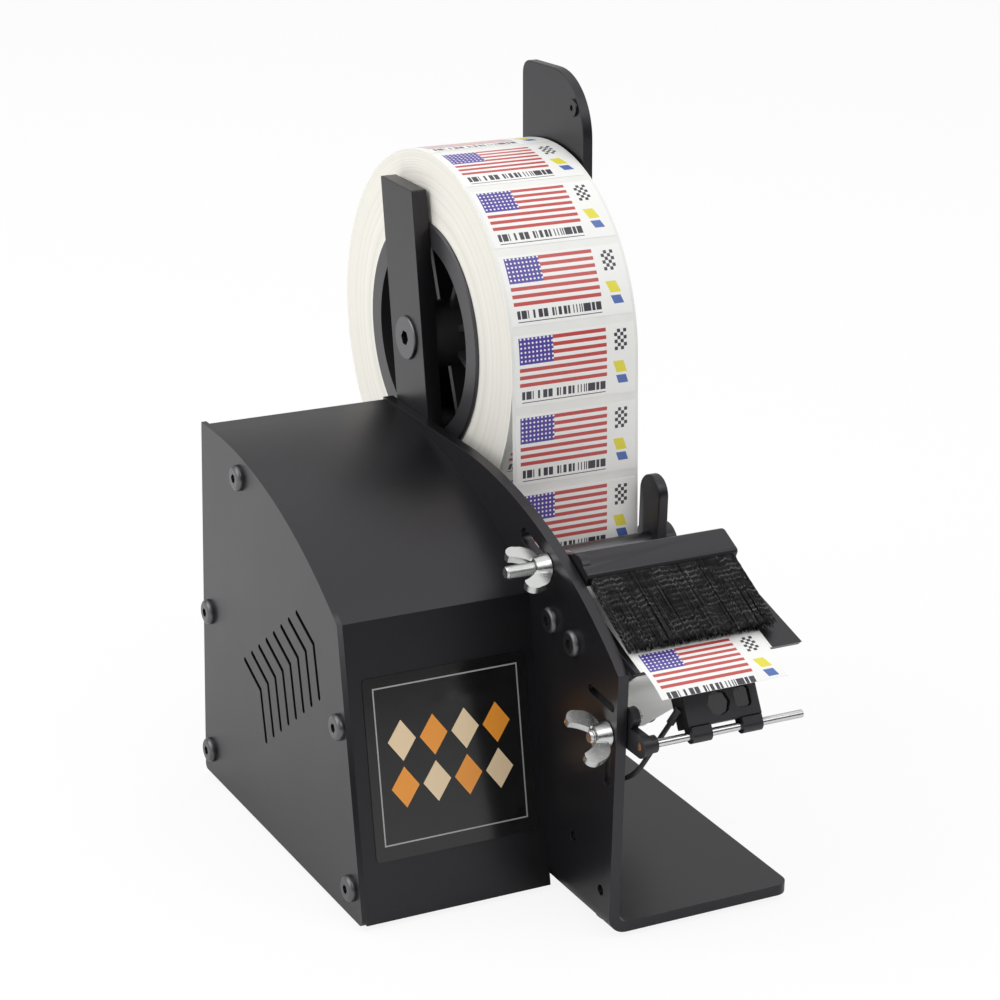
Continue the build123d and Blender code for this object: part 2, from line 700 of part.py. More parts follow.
with BuildPart() as bushing:
    with BuildSketch(side_plane(0)):
        with Locations((DRIVE_Y, DRIVE_H)):
            Circle(BUSHING_R)
            Circle(DRIVE_SHAFT_R + RUN_FIT, mode=Mode.SUBTRACT)
    extrude(amount=PLATE_T)
    with BuildSketch(side_plane(PLATE_T)):
        with Locations((DRIVE_Y, DRIVE_H)):
            Circle(BUSHING_RIM_R)
            Circle(DRIVE_SHAFT_R + RUN_FIT, mode=Mode.SUBTRACT)
    extrude(amount=BUSHING_RIM_T)
save(bushing.part, "shaft_bushing")

BOARD_HOLES = (BOARD_W - 2 * BOARD_HOLE_SET_IN, BOARD_TALL - 2 * BOARD_HOLE_SET_IN, 2, 2)
with BuildPart() as board:
    with BuildSketch(side_plane(BOARD_X)):
        with Locations((BOARD_Y, BOARD_H)):
            RectangleRounded(BOARD_W, BOARD_TALL, BOARD_CORNER)
            with GridLocations(*BOARD_HOLES):
                Circle(BOARD_HOLE_R, mode=Mode.SUBTRACT)
    extrude(amount=BOARD_T)
    with BuildSketch(side_plane(BOARD_X + BOARD_T)):
        with Locations((BOARD_Y, BOARD_H)):
            with Locations(*CHIP_SPOTS):
                Rectangle(*CHIP)
            with Locations(COIL_SPOT):
                Circle(COIL_R)
    extrude(amount=CHIP_H)
save(board.part, "control_board")

with BuildPart() as standoffs:
    with BuildSketch(side_plane(BOARD_X)):
        with Locations((BOARD_Y, BOARD_H)):
            with GridLocations(*BOARD_HOLES):
                RegularPolygon(STANDOFF_R, 6)
    extrude(amount=-STANDOFF_L)
save(standoffs.part, "board_standoffs")


# Roll holder: arm, fixed axle and its flat-headed bolt
with BuildPart() as arm:
    with BuildSketch(side_plane(PLATE_T)):
        with Locations(ROLL_CENTRE):
            Rectangle(ARM_W, 3 * ARM_W + ROLL_R * 3, rotation=-ARM_LEAN)
        with Locations((ROLL_Y, ARM_FOOT_H)):
            Rectangle(6 * ARM_W, ARM_TOP_H - ARM_FOOT_H, align=(Align.CENTER, Align.MIN), mode=Mode.INTERSECT)
    extrude(amount=ARM_T)
    with BuildSketch(side_plane(PLATE_T)):
        with Locations(ROLL_CENTRE):
            Circle(AXLE_BOLT_R)
        with Locations(*ARM_SCREWS):
            Circle(THREAD_R)
    extrude(amount=ARM_T, mode=Mode.SUBTRACT)
    fillet(arm.edges().filter_by(Axis.X).group_by(Axis.Z)[-1], ARM_CORNER)
save(arm.part, "roll_arm")

with BuildPart() as axle:
    arm_face = PLATE_T + ARM_T
    with BuildSketch(side_plane(arm_face)):
        with Locations(ROLL_CENTRE):
            Circle(AXLE_R)
    extrude(amount=AXLE_END_X - arm_face)
    chamfer(axle.edges().filter_by(GeomType.CIRCLE).group_by(Axis.X)[-1], AXLE_CHAMFER)
    with BuildSketch(side_plane(arm_face)):
        with Locations(ROLL_CENTRE):
            Circle(AXLE_BOLT_R)
    extrude(amount=AXLE_BOLT_DEEP, mode=Mode.SUBTRACT)
save(axle.part, "roll_axle")

with BuildPart() as axle_bolt:
    with BuildSketch(side_plane(PLATE_T)):
        with Locations(ROLL_CENTRE):
            Circle(AXLE_HEAD_R)
    extrude(amount=-AXLE_HEAD_H)
    with BuildSketch(side_plane(PLATE_T)):
        with Locations(ROLL_CENTRE):
            Circle(AXLE_BOLT_R)
    extrude(amount=ARM_T + AXLE_BOLT_DEEP - THREAD_ROOM)
    with BuildSketch(side_plane(PLATE_T - AXLE_HEAD_H)):
        with Locations(ROLL_CENTRE):
            RegularPolygon(AXLE_HEX_ACROSS / 2, 6, major_radius=False)
    extrude(amount=AXLE_HEX_DEPTH, mode=Mode.SUBTRACT)
    chamfer(axle_bolt.edges().filter_by(GeomType.CIRCLE).group_by(Axis.X)[0], AXLE_HEAD_CHAMFER)
save(axle_bolt.part, "axle_bolt")


# Hub, card core and label roll turn together on the axle
HUB_X = PLATE_T + ARM_T + SIDE_GAP
with BuildPart() as hub:
    with BuildSketch(side_plane(HUB_X)):
        with Locations(ROLL_CENTRE):
            Circle(HUB_FLANGE_R)
            Circle(CORE_R - HUB_WALL, mode=Mode.SUBTRACT)
    extrude(amount=ROLL_X - HUB_X)
    with BuildSketch(side_plane(HUB_X)):
        with Locations(ROLL_CENTRE):
            Circle(CORE_R)
            Circle(CORE_R - HUB_WALL, mode=Mode.SUBTRACT)
            Circle(HUB_BOSS_R)
    extrude(amount=HUB_LEN)
    with BuildSketch(side_plane(HUB_X + SPOKE_SET_IN)):
        with Locations(ROLL_CENTRE):
            with PolarLocations((CORE_R + HUB_BOSS_R) / 2 - SPOKE_GAP, HUB_SPOKES, start_angle=SPOKE_TURN):
                Rectangle(CORE_R - HUB_BOSS_R - SPOKE_GAP, SPOKE_T)
    extrude(amount=HUB_LEN - 2 * SPOKE_SET_IN)
    with BuildSketch(side_plane(HUB_X)):
        with Locations(ROLL_CENTRE):
            Circle(AXLE_R + RUN_FIT)
    extrude(amount=HUB_LEN, mode=Mode.SUBTRACT)
    flange_rim = hub.edges().filter_by(GeomType.CIRCLE).group_by(Axis.X)[0].sort_by(SortBy.RADIUS)[-1]
    chamfer(flange_rim, HUB_CHAMFER)
save(hub.part, "roll_hub")

with BuildPart() as core:
    with BuildSketch(side_plane(ROLL_X)):
        with Locations(ROLL_CENTRE):
            Circle(CORE_R + CORE_T)
            Circle(CORE_R, mode=Mode.SUBTRACT)
    extrude(amount=LABEL_W)
save(core.part, "roll_core")

with BuildPart() as roll:
    with BuildSketch(side_plane(ROLL_X)):
        with Locations(ROLL_CENTRE):
            Circle(ROLL_R)
            Circle(CORE_R + CORE_T, mode=Mode.SUBTRACT)
    extrude(amount=LABEL_W)
save(roll.part, "label_roll")


# Outer plate of the roll holder, with its collar and thumb screw
GUARD_X = WEB_END_X + GUARD_GAP
with BuildPart() as guard:
    guard_plane = Plane(
        origin=side_plane(GUARD_X).from_local_coords((ROLL_Y, ROLL_H, 0)),
        x_dir=(0, cos(radians(GUARD_LEAN)), -sin(radians(GUARD_LEAN))),
        z_dir=(1, 0, 0),
    )
    with BuildSketch(guard_plane) as guard_face:
        with Locations((GUARD_SHIFT, (GUARD_UP - GUARD_DOWN) / 2)):
            Rectangle(GUARD_W, GUARD_UP + GUARD_DOWN)
        guard_front = GUARD_SHIFT - GUARD_W / 2
        guard_back = GUARD_SHIFT + GUARD_W / 2
        fillet(guard_face.vertices().group_by(Axis.Y)[0], GUARD_W / 2 - 1)
        fillet(guard_face.vertices().sort_by_distance((guard_front, GUARD_UP))[0], GUARD_FRONT_R)
        fillet(guard_face.vertices().sort_by_distance((guard_back, GUARD_UP))[0], GUARD_BACK_R)
        Circle(AXLE_R + RUN_FIT, mode=Mode.SUBTRACT)
    extrude(amount=GUARD_T)
save(guard.part, "outer_roll_plate")

KNOB_PLANE = Plane(
    origin=(GUARD_X + GUARD_T + GUARD_COLLAR_L / 2, FRONT_Y + ROLL_Y, FOOT_H + ROLL_H), z_dir=(0, 1, 0)
)
with BuildPart() as collar:
    with BuildSketch(side_plane(GUARD_X + GUARD_T)):
        with Locations(ROLL_CENTRE):
            Circle(GUARD_COLLAR_R)
            Circle(AXLE_R + RUN_FIT, mode=Mode.SUBTRACT)
    extrude(amount=GUARD_COLLAR_L)
    with BuildSketch(KNOB_PLANE):
        Circle(SCREW_R)
    extrude(amount=GUARD_COLLAR_R, mode=Mode.SUBTRACT)
save(collar.part, "outer_plate_collar")

with BuildPart() as collar_screw:
    with BuildSketch(KNOB_PLANE.offset(AXLE_R + SIDE_GAP)):
        Circle(SCREW_R - RUN_FIT)
    extrude(amount=GUARD_COLLAR_R - AXLE_R + 1)
    with BuildSketch(KNOB_PLANE.offset(GUARD_COLLAR_R + KNOB_LIFT)):
        Circle(GUARD_COLLAR_L / 2)
        with PolarLocations(GUARD_COLLAR_L / 2, KNURL_COUNT):
            Circle(KNURL_R, mode=Mode.SUBTRACT)
    extrude(amount=COLLAR_KNOB_L)
save(collar_screw.part, "collar_thumb_screw")

with BuildPart() as rivet:
    rivet_plane = Plane(
        origin=side_plane(GUARD_X).from_local_coords((*RIVET_SPOT, 0)), x_dir=(0, 1, 0), z_dir=(-1, 0, 0)
    )
    with BuildSketch(rivet_plane):
        Circle(RIVET_R)
    extrude(amount=RIVET_H)
    with BuildSketch(rivet_plane.offset(RIVET_H)):
        RegularPolygon(RIVET_SOCKET_R, 6)
    extrude(amount=-RIVET_SOCKET_DEEP, mode=Mode.SUBTRACT)
save(rivet.part, "outer_plate_rivet")


# Guide rod and its sliding web guide
with BuildPart() as guide_rod:
    with BuildSketch(side_plane(PLATE_T)):
        with Locations((GUIDE_ROD_Y, GUIDE_ROD_H)):
            Circle(GUIDE_ROD_R)
    extrude(amount=GUIDE_ROD_END_X - PLATE_T)
    chamfer(guide_rod.edges().filter_by(GeomType.CIRCLE).group_by(Axis.X)[-1], GUIDE_ROD_CHAMFER)
    with BuildSketch(side_plane(0)):
        with Locations((GUIDE_ROD_Y, GUIDE_ROD_H)):
            Circle(PINCH_PIN_R)
    extrude(amount=PLATE_T)
save(guide_rod.part, "guide_rod")

WEB_GUIDE_X = WEB_END_X + WEB_GUIDE_GAP
GUIDE_SCREW_PLANE = Plane(
    origin=(WEB_GUIDE_X + WEB_GUIDE_T + WEB_COLLAR_L / 2, FRONT_Y + GUIDE_ROD_Y, FOOT_H + GUIDE_ROD_H),
    z_dir=(0, 1, 0),
)
with BuildPart() as web_guide:
    with BuildSketch(side_plane(WEB_GUIDE_X)):
        with Locations((GUIDE_ROD_Y, WEB_GUIDE_TOP_H - WEB_GUIDE_W / 2)):
            Circle(WEB_GUIDE_W / 2)
            Rectangle(
                WEB_GUIDE_W,
                WEB_GUIDE_TOP_H - WEB_GUIDE_W / 2 - GUIDE_ROD_H,
                align=(Align.CENTER, Align.MAX),
            )
        with Locations((GUIDE_ROD_Y, GUIDE_ROD_H)):
            Circle(WEB_COLLAR_R)
            Circle(GUIDE_ROD_R + RUN_FIT, mode=Mode.SUBTRACT)
    extrude(amount=WEB_GUIDE_T)
    fillet(web_guide.edges().filter_by(GeomType.CIRCLE).group_by(Axis.Z)[-1], WEB_GUIDE_ROUND)
    with BuildSketch(side_plane(WEB_GUIDE_X + WEB_GUIDE_T)):
        with Locations((GUIDE_ROD_Y, GUIDE_ROD_H)):
            Circle(WEB_COLLAR_R)
            Circle(GUIDE_ROD_R + RUN_FIT, mode=Mode.SUBTRACT)
    extrude(amount=WEB_COLLAR_L)
    with BuildSketch(GUIDE_SCREW_PLANE):
        Circle(GUIDE_SCREW_R)
    extrude(amount=WEB_GUIDE_W, mode=Mode.SUBTRACT)
save(web_guide.part, "web_guide")

with BuildPart() as guide_screw:
    with BuildSketch(GUIDE_SCREW_PLANE.offset(GUIDE_ROD_R + SIDE_GAP)):
        Circle(GUIDE_SCREW_R - RUN_FIT)
    extrude(amount=WEB_GUIDE_W / 2 + GUIDE_SCREW_LIFT - GUIDE_ROD_R)
    with BuildSketch(GUIDE_SCREW_PLANE.offset(WEB_GUIDE_W / 2 + GUIDE_SCREW_LIFT)):
        Circle(GUIDE_KNOB_R)
        with PolarLocations(GUIDE_KNOB_R, KNURL_COUNT):
            Circle(KNURL_R, mode=Mode.SUBTRACT)
    extrude(amount=GUIDE_KNOB_L)
save(guide_screw.part, "web_guide_screw")


# Peel deck with its side flange
with BuildPart() as deck:
    nose = (DECK_NOSE_Y, DECK_NOSE_H)
    back = (DECK_BACK_Y, deck_height(DECK_BACK_Y))
    back_low = at_angle(back, DECK_T, DECK_SLOPE - 90)
    nose_low = at_angle(nose, DECK_T, DECK_SLOPE - 55)
    with BuildSketch(side_plane(PLATE_T)) as deck_section:
        Polygon(nose, back, back_low, nose_low, align=None)
        fillet(deck_section.vertices().sort_by_distance(nose_low)[0], DECK_NOSE_ROUND)
    extrude(amount=DECK_END_X - PLATE_T)
    back_edge = deck.edges().filter_by(Axis.X).sort_by(Axis.Z)[-1]
    fillet(back_edge, DECK_BACK_ROUND)
    flange_front = DECK_SCREWS[1][0] - DECK_FLANGE_ROOM
    flange_back = DECK_BACK_Y - DECK_BACK_TRIM
    with BuildSketch(side_plane(PLATE_T)) as flange:
        Polygon(
            (flange_front, deck_height(flange_front) - DECK_T / 2),
            (flange_back, deck_height(flange_back) - DECK_T),
            (flange_back, DECK_SCREWS[0][1] - DECK_FLANGE_ROOM),
            (flange_front, DECK_SCREWS[1][1] - DECK_FLANGE_ROOM),
            align=None,
        )
        fillet(flange.vertices().sort_by(Axis.Y)[0:2], DECK_FLANGE_ROUND)
        with Locations(*DECK_SCREWS):
            Circle(THREAD_R, mode=Mode.SUBTRACT)
    extrude(amount=DECK_FLANGE_T)
save(deck.part, "peel_deck")


# Brush: bar with its ear, bristles, stud
with BuildPart() as brush_bar:
    bar_back = at_angle(BRUSH_BAR_FRONT, BRUSH_BAR_W, BRUSH_BAR_TILT)
    bar_low = at_angle(BRUSH_BAR_FRONT, BRUSH_BAR_T, BRUSH_BAR_TILT - 90)
    bar_back_low = at_angle(bar_back, BRUSH_BAR_T, BRUSH_BAR_TILT - 90)
    with BuildSketch(side_plane(PLATE_T + INNER_GAP)) as bar_section:
        Polygon(BRUSH_BAR_FRONT, bar_back, bar_back_low, bar_low, align=None)
        fillet(bar_section.vertices(), BRUSH_BAR_ROUND)
    extrude(amount=BRUSH_END_X - PLATE_T - INNER_GAP)
    end_edges = brush_bar.edges().group_by(Axis.X)[-1]
    fillet(end_edges, BRUSH_END_ROUND)
    with BuildSketch(side_plane(PLATE_T + INNER_GAP)):
        ear_start = at_angle(BRUSH_BAR_FRONT, BRUSH_BAR_W * 0.7, BRUSH_BAR_TILT)
        slot_between((ear_start[0], ear_start[1] - BRUSH_BAR_T / 2), BRUSH_STUD, BRUSH_EAR_W)
    extrude(amount=BRUSH_EAR_T)
    with BuildSketch(side_plane(PLATE_T)):
        with Locations(BRUSH_STUD):
            Circle(STUD_R)
    extrude(amount=BRUSH_EAR_T + 1, mode=Mode.SUBTRACT)
save(brush_bar.part, "brush_bar")

with BuildPart() as bristles:
    root_middle = at_angle(BRUSH_BAR_FRONT, BRUSH_BAR_T / 2, BRUSH_BAR_TILT - 90)
    root_top = at_angle(root_middle, BRISTLE_ROOT_T / 2, 90 + BRUSH_BAR_TILT)
    root_low = at_angle(root_middle, -BRISTLE_ROOT_T / 2, 90 + BRUSH_BAR_TILT)
    tip_top = at_angle(root_top, BRISTLE_L, 180 + BRISTLE_DROP)
    tip_low = at_angle(tip_top, BRISTLE_TIP_T, BRISTLE_DROP - BRISTLE_TIP_CUT)
    with BuildSketch(side_plane(PLATE_T + BRISTLE_SET_IN)):
        Polygon(root_top, root_low, tip_low, tip_top, align=None)
    extrude(amount=BRUSH_END_X - PLATE_T - 2 * BRISTLE_SET_IN)
save(bristles.part, "brush_bristles")


def wing_stud(centre, reach, inner_x):
    """Threaded stud through the main plate that carries a wing nut on the left."""
    with BuildPart() as stud:
        with BuildSketch(side_plane(-reach)):
            with Locations(centre):
                Circle(STUD_R - STUD_THREAD_FIT)
        extrude(amount=reach + inner_x)
        chamfer(stud.edges().filter_by(GeomType.CIRCLE).group_by(Axis.X)[0], STUD_CHAMFER)
        with BuildSketch(side_plane(inner_x)):
            with Locations(centre):
                RegularPolygon(STUD_R + STUD_HEAD_RIM, 6)
        extrude(amount=STUD_HEAD_T)
    return stud.part


def wing_nut(centre, tilt):
    """Wing nut against the main plate's left face: a coned hub and two rounded wings."""
    with BuildPart() as nut:
        with BuildSketch(side_plane(-SIDE_GAP)):
            with Locations(centre):
                Circle(WING_HUB_R)
        extrude(amount=-WING_HUB_H, taper=WING_HUB_TAPER)
        wing_plane = Plane(
            origin=side_plane(-SIDE_GAP).from_local_coords((*centre, 0)),
            x_dir=(0, cos(radians(tilt)), sin(radians(tilt))),
            z_dir=(0, -sin(radians(tilt)), cos(radians(tilt))),
        )
        for side in (1, -1):
            with BuildSketch(wing_plane):
                with BuildLine():
                    inner_low = (side * WING_HUB_R * 0.5, 0.6)
                    outer_low = (side * WING_HUB_R * 1.05, 1.6)
                    tip_low_point = (side * WING_SPAN / 2, WING_H * 0.62)
                    tip_high = (side * (WING_SPAN / 2 - 4.2), WING_H)
                    inner_high = (side * WING_HUB_R * 0.5, WING_HUB_H)
                    Line(inner_low, outer_low)
                    ThreePointArc(outer_low, (side * WING_SPAN * 0.4, WING_H * 0.26), tip_low_point)
                    ThreePointArc(tip_low_point, (side * (WING_SPAN / 2 - 0.6), WING_H * 0.95), tip_high)
                    ThreePointArc(tip_high, (side * WING_HUB_R * 0.98, WING_H * 0.66), inner_high)
                    Line(inner_high, inner_low)
                make_face()
            extrude(amount=WING_T / 2, both=True)
        with BuildSketch(side_plane(0)):
            with Locations(centre):
                Circle(STUD_R)
        extrude(amount=-WING_H, mode=Mode.SUBTRACT)
    return nut.part


save(wing_stud(BRUSH_STUD, UPPER_STUD_OUT, PLATE_T + INNER_GAP + BRUSH_EAR_T), "brush_stud")
save(wing_nut(BRUSH_STUD, UPPER_NUT_TURN), "upper_wing_nut")
save(wing_stud(SENSOR_STUD, LOWER_STUD_OUT, PLATE_T + INNER_GAP + BRACKET_T), "sensor_stud")
save(wing_nut(SENSOR_STUD, LOWER_NUT_TURN), "lower_wing_nut")


# Sensor bracket, rod and sensor
SENSOR_ROD = (SENSOR_ROD_Y, SENSOR_ROD_H)
with BuildPart() as bracket:
    with BuildSketch(side_plane(PLATE_T + INNER_GAP)) as bracket_face:
        slot_between(SENSOR_ROD, SENSOR_STUD, BRACKET_W)
        ear_tip = (SENSOR_STUD[0] + BRACKET_EAR[0], SENSOR_STUD[1] + BRACKET_EAR[1])
        slot_between(SENSOR_STUD, ear_tip, BRACKET_EAR_W)
        with Locations(SENSOR_STUD):
            Circle(STUD_R, mode=Mode.SUBTRACT)
    extrude(amount=BRACKET_T)
    with BuildSketch(side_plane(PLATE_T + INNER_GAP + BRACKET_T)):
        with Locations(SENSOR_ROD):
            Circle(BRACKET_BARREL_R)
    extrude(amount=BRACKET_BARREL_L)
    with BuildSketch(side_plane(PLATE_T + INNER_GAP)):
        with Locations(SENSOR_ROD):
            Circle(SENSOR_ROD_R)
    extrude(amount=BRACKET_T + BRACKET_BARREL_L, mode=Mode.SUBTRACT)
save(bracket.part, "sensor_bracket")

with BuildPart() as sensor_rod:
    with BuildSketch(side_plane(PLATE_T + INNER_GAP)):
        with Locations(SENSOR_ROD):
            Circle(SENSOR_ROD_R)
    extrude(amount=SENSOR_ROD_END_X - PLATE_T - INNER_GAP)
save(sensor_rod.part, "sensor_rod")

with BuildPart() as clamp_screw:
    clamp_plane = Plane(
        origin=side_plane(PLATE_T + INNER_GAP + BRACKET_T).from_local_coords((*ear_tip, 0)),
        x_dir=(0, 1, 0),
        z_dir=(1, 0, 0),
    )
    with BuildSketch(clamp_plane):
        Circle(BRACKET_SCREW_R)
    extrude(amount=BRACKET_SCREW_H)
    with BuildSketch(clamp_plane.offset(BRACKET_SCREW_H)):
        Rectangle(2 * BRACKET_SCREW_R, BRACKET_SCREW_SLOT[0])
    extrude(amount=-BRACKET_SCREW_SLOT[1], mode=Mode.SUBTRACT)
save(clamp_screw.part, "bracket_screw")

SENSOR_PLANE = Plane(
    origin=(SENSOR_X, FRONT_Y + SENSOR_ROD_Y, FOOT_H + SENSOR_ROD_H),
    x_dir=(1, 0, 0),
    z_dir=(0, -cos(radians(SENSOR_TILT)), sin(radians(SENSOR_TILT))),
)


def sensor_windows(inset):
    """Add the outlines of the sensor's eight-sided and four-sided windows, drawn in by inset."""
    with Locations((SENSOR_W * ROUND_WINDOW[0], SENSOR_LIFT + SENSOR_H * ROUND_WINDOW[1])):
        RegularPolygon(ROUND_WINDOW[2] - inset, 8)
    with Locations((SENSOR_W * SQUARE_WINDOW[0], SENSOR_LIFT + SENSOR_H * SQUARE_WINDOW[1])):
        RectangleRounded(SQUARE_WINDOW[2] - 2 * inset, SQUARE_WINDOW[3] - 2 * inset, WINDOW_CORNER - inset)


with BuildPart() as sensor:
    with BuildSketch(SENSOR_PLANE.offset(SENSOR_FACE)):
        with Locations((0, SENSOR_LIFT)):
            Rectangle(SENSOR_W, SENSOR_H, align=(Align.MIN, Align.MIN))
    extrude(amount=-SENSOR_D)
    fillet(sensor.edges().filter_by(Axis.X), SENSOR_ROUND)
    with BuildSketch(SENSOR_PLANE.offset(SENSOR_FACE)):
        sensor_windows(0)
    extrude(amount=-WINDOW_DEEP, mode=Mode.SUBTRACT)
    gland_end = Vector(*[a + b for a, b in zip(LEAD_POINTS[0], (0, FRONT_Y, FOOT_H))])
    gland_run = Vector(*LEAD_POINTS[0]) - Vector(*LEAD_POINTS[1])
    with BuildSketch(Plane(origin=gland_end, z_dir=gland_run)):
        Circle(LEAD_GLAND_R)
    extrude(amount=LEAD_GLAND_L * 2)
save(sensor.part, "sensor_body")

with BuildPart() as lenses:
    with BuildSketch(SENSOR_PLANE.offset(SENSOR_FACE - WINDOW_DEEP)):
        sensor_windows(LENS_GAP)
    extrude(amount=LENS_T)
save(lenses.part, "sensor_lenses")

with BuildPart() as clips:
    for clip_x in CLIP_X:
        with BuildSketch(side_plane(clip_x - CLIP_W / 2)):
            with Locations(SENSOR_ROD):
                Circle(CLIP_R)
                with Locations(Location((0, 0), 90 - SENSOR_TILT)):
                    Rectangle(SENSOR_LIFT, 2 * CLIP_R, align=(Align.MIN, Align.CENTER))
                Circle(SENSOR_ROD_R + RUN_FIT, mode=Mode.SUBTRACT)
        extrude(amount=CLIP_W)
save(clips.part, "sensor_clips")


# Liner drive: shaft with rubber roller, sprung arm with pinch roller
with BuildPart() as drive_shaft:
    with BuildSketch(side_plane(-MOTOR_SHAFT_L)):
        with Locations((DRIVE_Y, DRIVE_H)):
            Circle(DRIVE_SHAFT_R)
    extrude(amount=MOTOR_SHAFT_L + DRIVE_END_X + DRIVE_SHAFT_OUT)
    with BuildSketch(side_plane(DRIVE_X)):
        with Locations((DRIVE_Y, DRIVE_H)):
            Circle(DRIVE_CORE_R)
    extrude(amount=DRIVE_END_X - DRIVE_X)
save(drive_shaft.part, "drive_shaft")

with BuildPart() as drive_rubber:
    with BuildSketch(side_plane(DRIVE_X + RUBBER_SET_IN)):
        with Locations((DRIVE_Y, DRIVE_H)):
            Circle(DRIVE_R)
            Circle(DRIVE_CORE_R, mode=Mode.SUBTRACT)
    extrude(amount=DRIVE_END_X - DRIVE_X - 2 * RUBBER_SET_IN)
save(drive_rubber.part, "drive_rubber")

PINCH_CENTRE = (PINCH_Y, PINCH_H)
with BuildPart() as pinch_arm:
    with BuildSketch(side_plane(PLATE_T + PINCH_ARM_GAP)):
        slot_between(PINCH_PIVOT, PINCH_CENTRE, PINCH_ARM_W)
        with Locations(PINCH_PIVOT):
            Circle(PINCH_PIN_R + RUN_FIT, mode=Mode.SUBTRACT)
    extrude(amount=PINCH_ARM_T)
    with BuildSketch(side_plane(PLATE_T + PINCH_ARM_GAP)):
        with Locations(PINCH_CENTRE):
            Circle(PINCH_PIN_R)
    extrude(amount=PINCH_END_X - PLATE_T)
save(pinch_arm.part, "pinch_arm")

with BuildPart() as pinch_roller:
    with BuildSketch(side_plane(PINCH_X)):
        with Locations(PINCH_CENTRE):
            Circle(PINCH_R)
            Circle(PINCH_PIN_R + RUN_FIT, mode=Mode.SUBTRACT)
    extrude(amount=PINCH_END_X - PINCH_X)
save(pinch_roller.part, "pinch_roller")

with BuildPart() as pivot_pin:
    with BuildSketch(side_plane(0)):
        with Locations(PINCH_PIVOT):
            Circle(PINCH_PIN_R)
    pin_face = PLATE_T + PINCH_ARM_GAP + PINCH_ARM_T + SPRING_ROOM
    extrude(amount=pin_face + PINCH_PIN_HEAD_T)
    with BuildSketch(side_plane(pin_face)):
        with Locations(PINCH_PIVOT):
            Circle(PINCH_PIN_HEAD_R)
    extrude(amount=PINCH_PIN_HEAD_T)
save(pivot_pin.part, "pinch_pivot_pin")

with BuildPart() as spring:
    spring_start = PLATE_T + PINCH_ARM_GAP + PINCH_ARM_T + SPRING_WIRE_R + SIDE_GAP
    for turn in range(SPRING_TURNS):
        coil_plane = side_plane(spring_start + turn * SPRING_PITCH)
        wire_spot = coil_plane.from_local_coords((PINCH_PIVOT[0] + SPRING_R, PINCH_PIVOT[1], 0))
        with BuildSketch(Plane(origin=wire_spot, z_dir=(0, 0, 1))):
            Rectangle(SPRING_PITCH + SPRING_LAP, 2 * SPRING_WIRE_R)
        revolve(axis=Axis(coil_plane.from_local_coords((*PINCH_PIVOT, 0)), (1, 0, 0)), revolution_arc=360)
save(spring.part, "pinch_spring")


# Label web on its way from the roll to the drive roller
def tangent_angle(point, centre, radius, side):
    """Direction, in degrees, of the line from a point that touches a circle on one side."""
    reach = (centre[0] - point[0], centre[1] - point[1])
    return degrees(atan2(reach[1], reach[0])) + side * degrees(asin(radius / hypot(*reach)))


def paper_strip(name, x, width, *pieces):
    """Make one thin strip of paper from side-view lines, each a list of points of its lower face."""
    with BuildPart() as strip:
        with BuildSketch(side_plane(x)):
            for start, end, lift in pieces:
                along = degrees(atan2(end[1] - start[1], end[0] - start[0]))
                Polygon(
                    start,
                    end,
                    at_angle(end, PAPER_T, along + lift * 90),
                    at_angle(start, PAPER_T, along + lift * 90),
                    align=None,
                )
        extrude(amount=width)
    save(strip.part, name)


ROD_CENTRE = (GUIDE_ROD_Y, GUIDE_ROD_H)
ROD_RUN = GUIDE_ROD_R + WEB_GAP
reach = (ROLL_Y - GUIDE_ROD_Y, ROLL_H - GUIDE_ROD_H)
web_rise = degrees(atan2(reach[1], reach[0]) + asin((ROLL_R + SIDE_GAP + ROD_RUN) / hypot(*reach)))
web_top = at_angle(ROLL_CENTRE, ROLL_R + SIDE_GAP, web_rise + 90)
web_low = at_angle(ROD_CENTRE, ROD_RUN, web_rise - 90)
paper_strip("label_web_upper", ROLL_X, LABEL_W, (web_low, web_top, -1))

deck_back = (flange_back, deck_height(flange_back))
deck_back_top = at_angle(deck_back, PAPER_T, DECK_SLOPE + 90)
rise_angle = tangent_angle(deck_back_top, ROD_CENTRE, ROD_RUN, -1)
rise_end = at_angle(ROD_CENTRE, ROD_RUN, rise_angle - 90)
with BuildPart() as web_lower:
    with BuildSketch(side_plane(LINER_X)):
        with Locations(ROD_CENTRE):
            Circle(ROD_RUN + PAPER_T)
            Circle(ROD_RUN, mode=Mode.SUBTRACT)
        Polygon(
            ROD_CENTRE,
            at_angle(ROD_CENTRE, 3 * GUIDE_ROD_R, rise_angle - 90),
            at_angle(ROD_CENTRE, 4 * GUIDE_ROD_R, -45),
            at_angle(ROD_CENTRE, 3 * GUIDE_ROD_R, web_rise - 90),
            align=None,
            mode=Mode.INTERSECT,
        )
        Polygon(
            rise_end,
            deck_back_top,
            at_angle(deck_back_top, PAPER_T, rise_angle - 90),
            at_angle(rise_end, PAPER_T, rise_angle - 90),
            align=None,
        )
        Polygon(
            deck_back,
            deck_back_top,
            at_angle(nose, PAPER_T, DECK_SLOPE + 90),
            nose,
            align=None,
        )
    extrude(amount=LABEL_W + WEB_DRIFT)
    with BuildSketch(level_plane(0)):
        Polygon(
            (LINER_X, DECK_NOSE_Y),
            (LINER_X + LABEL_W, DECK_NOSE_Y),
            (ROLL_X + LABEL_W, GUIDE_ROD_Y),
            (ROLL_X + LABEL_W, ROLL_Y),
            (ROLL_X, ROLL_Y),
            (ROLL_X, GUIDE_ROD_Y),
            align=None,
        )
    extrude(amount=ROLL_H, mode=Mode.INTERSECT)
save(web_lower.part, "label_web_deck")

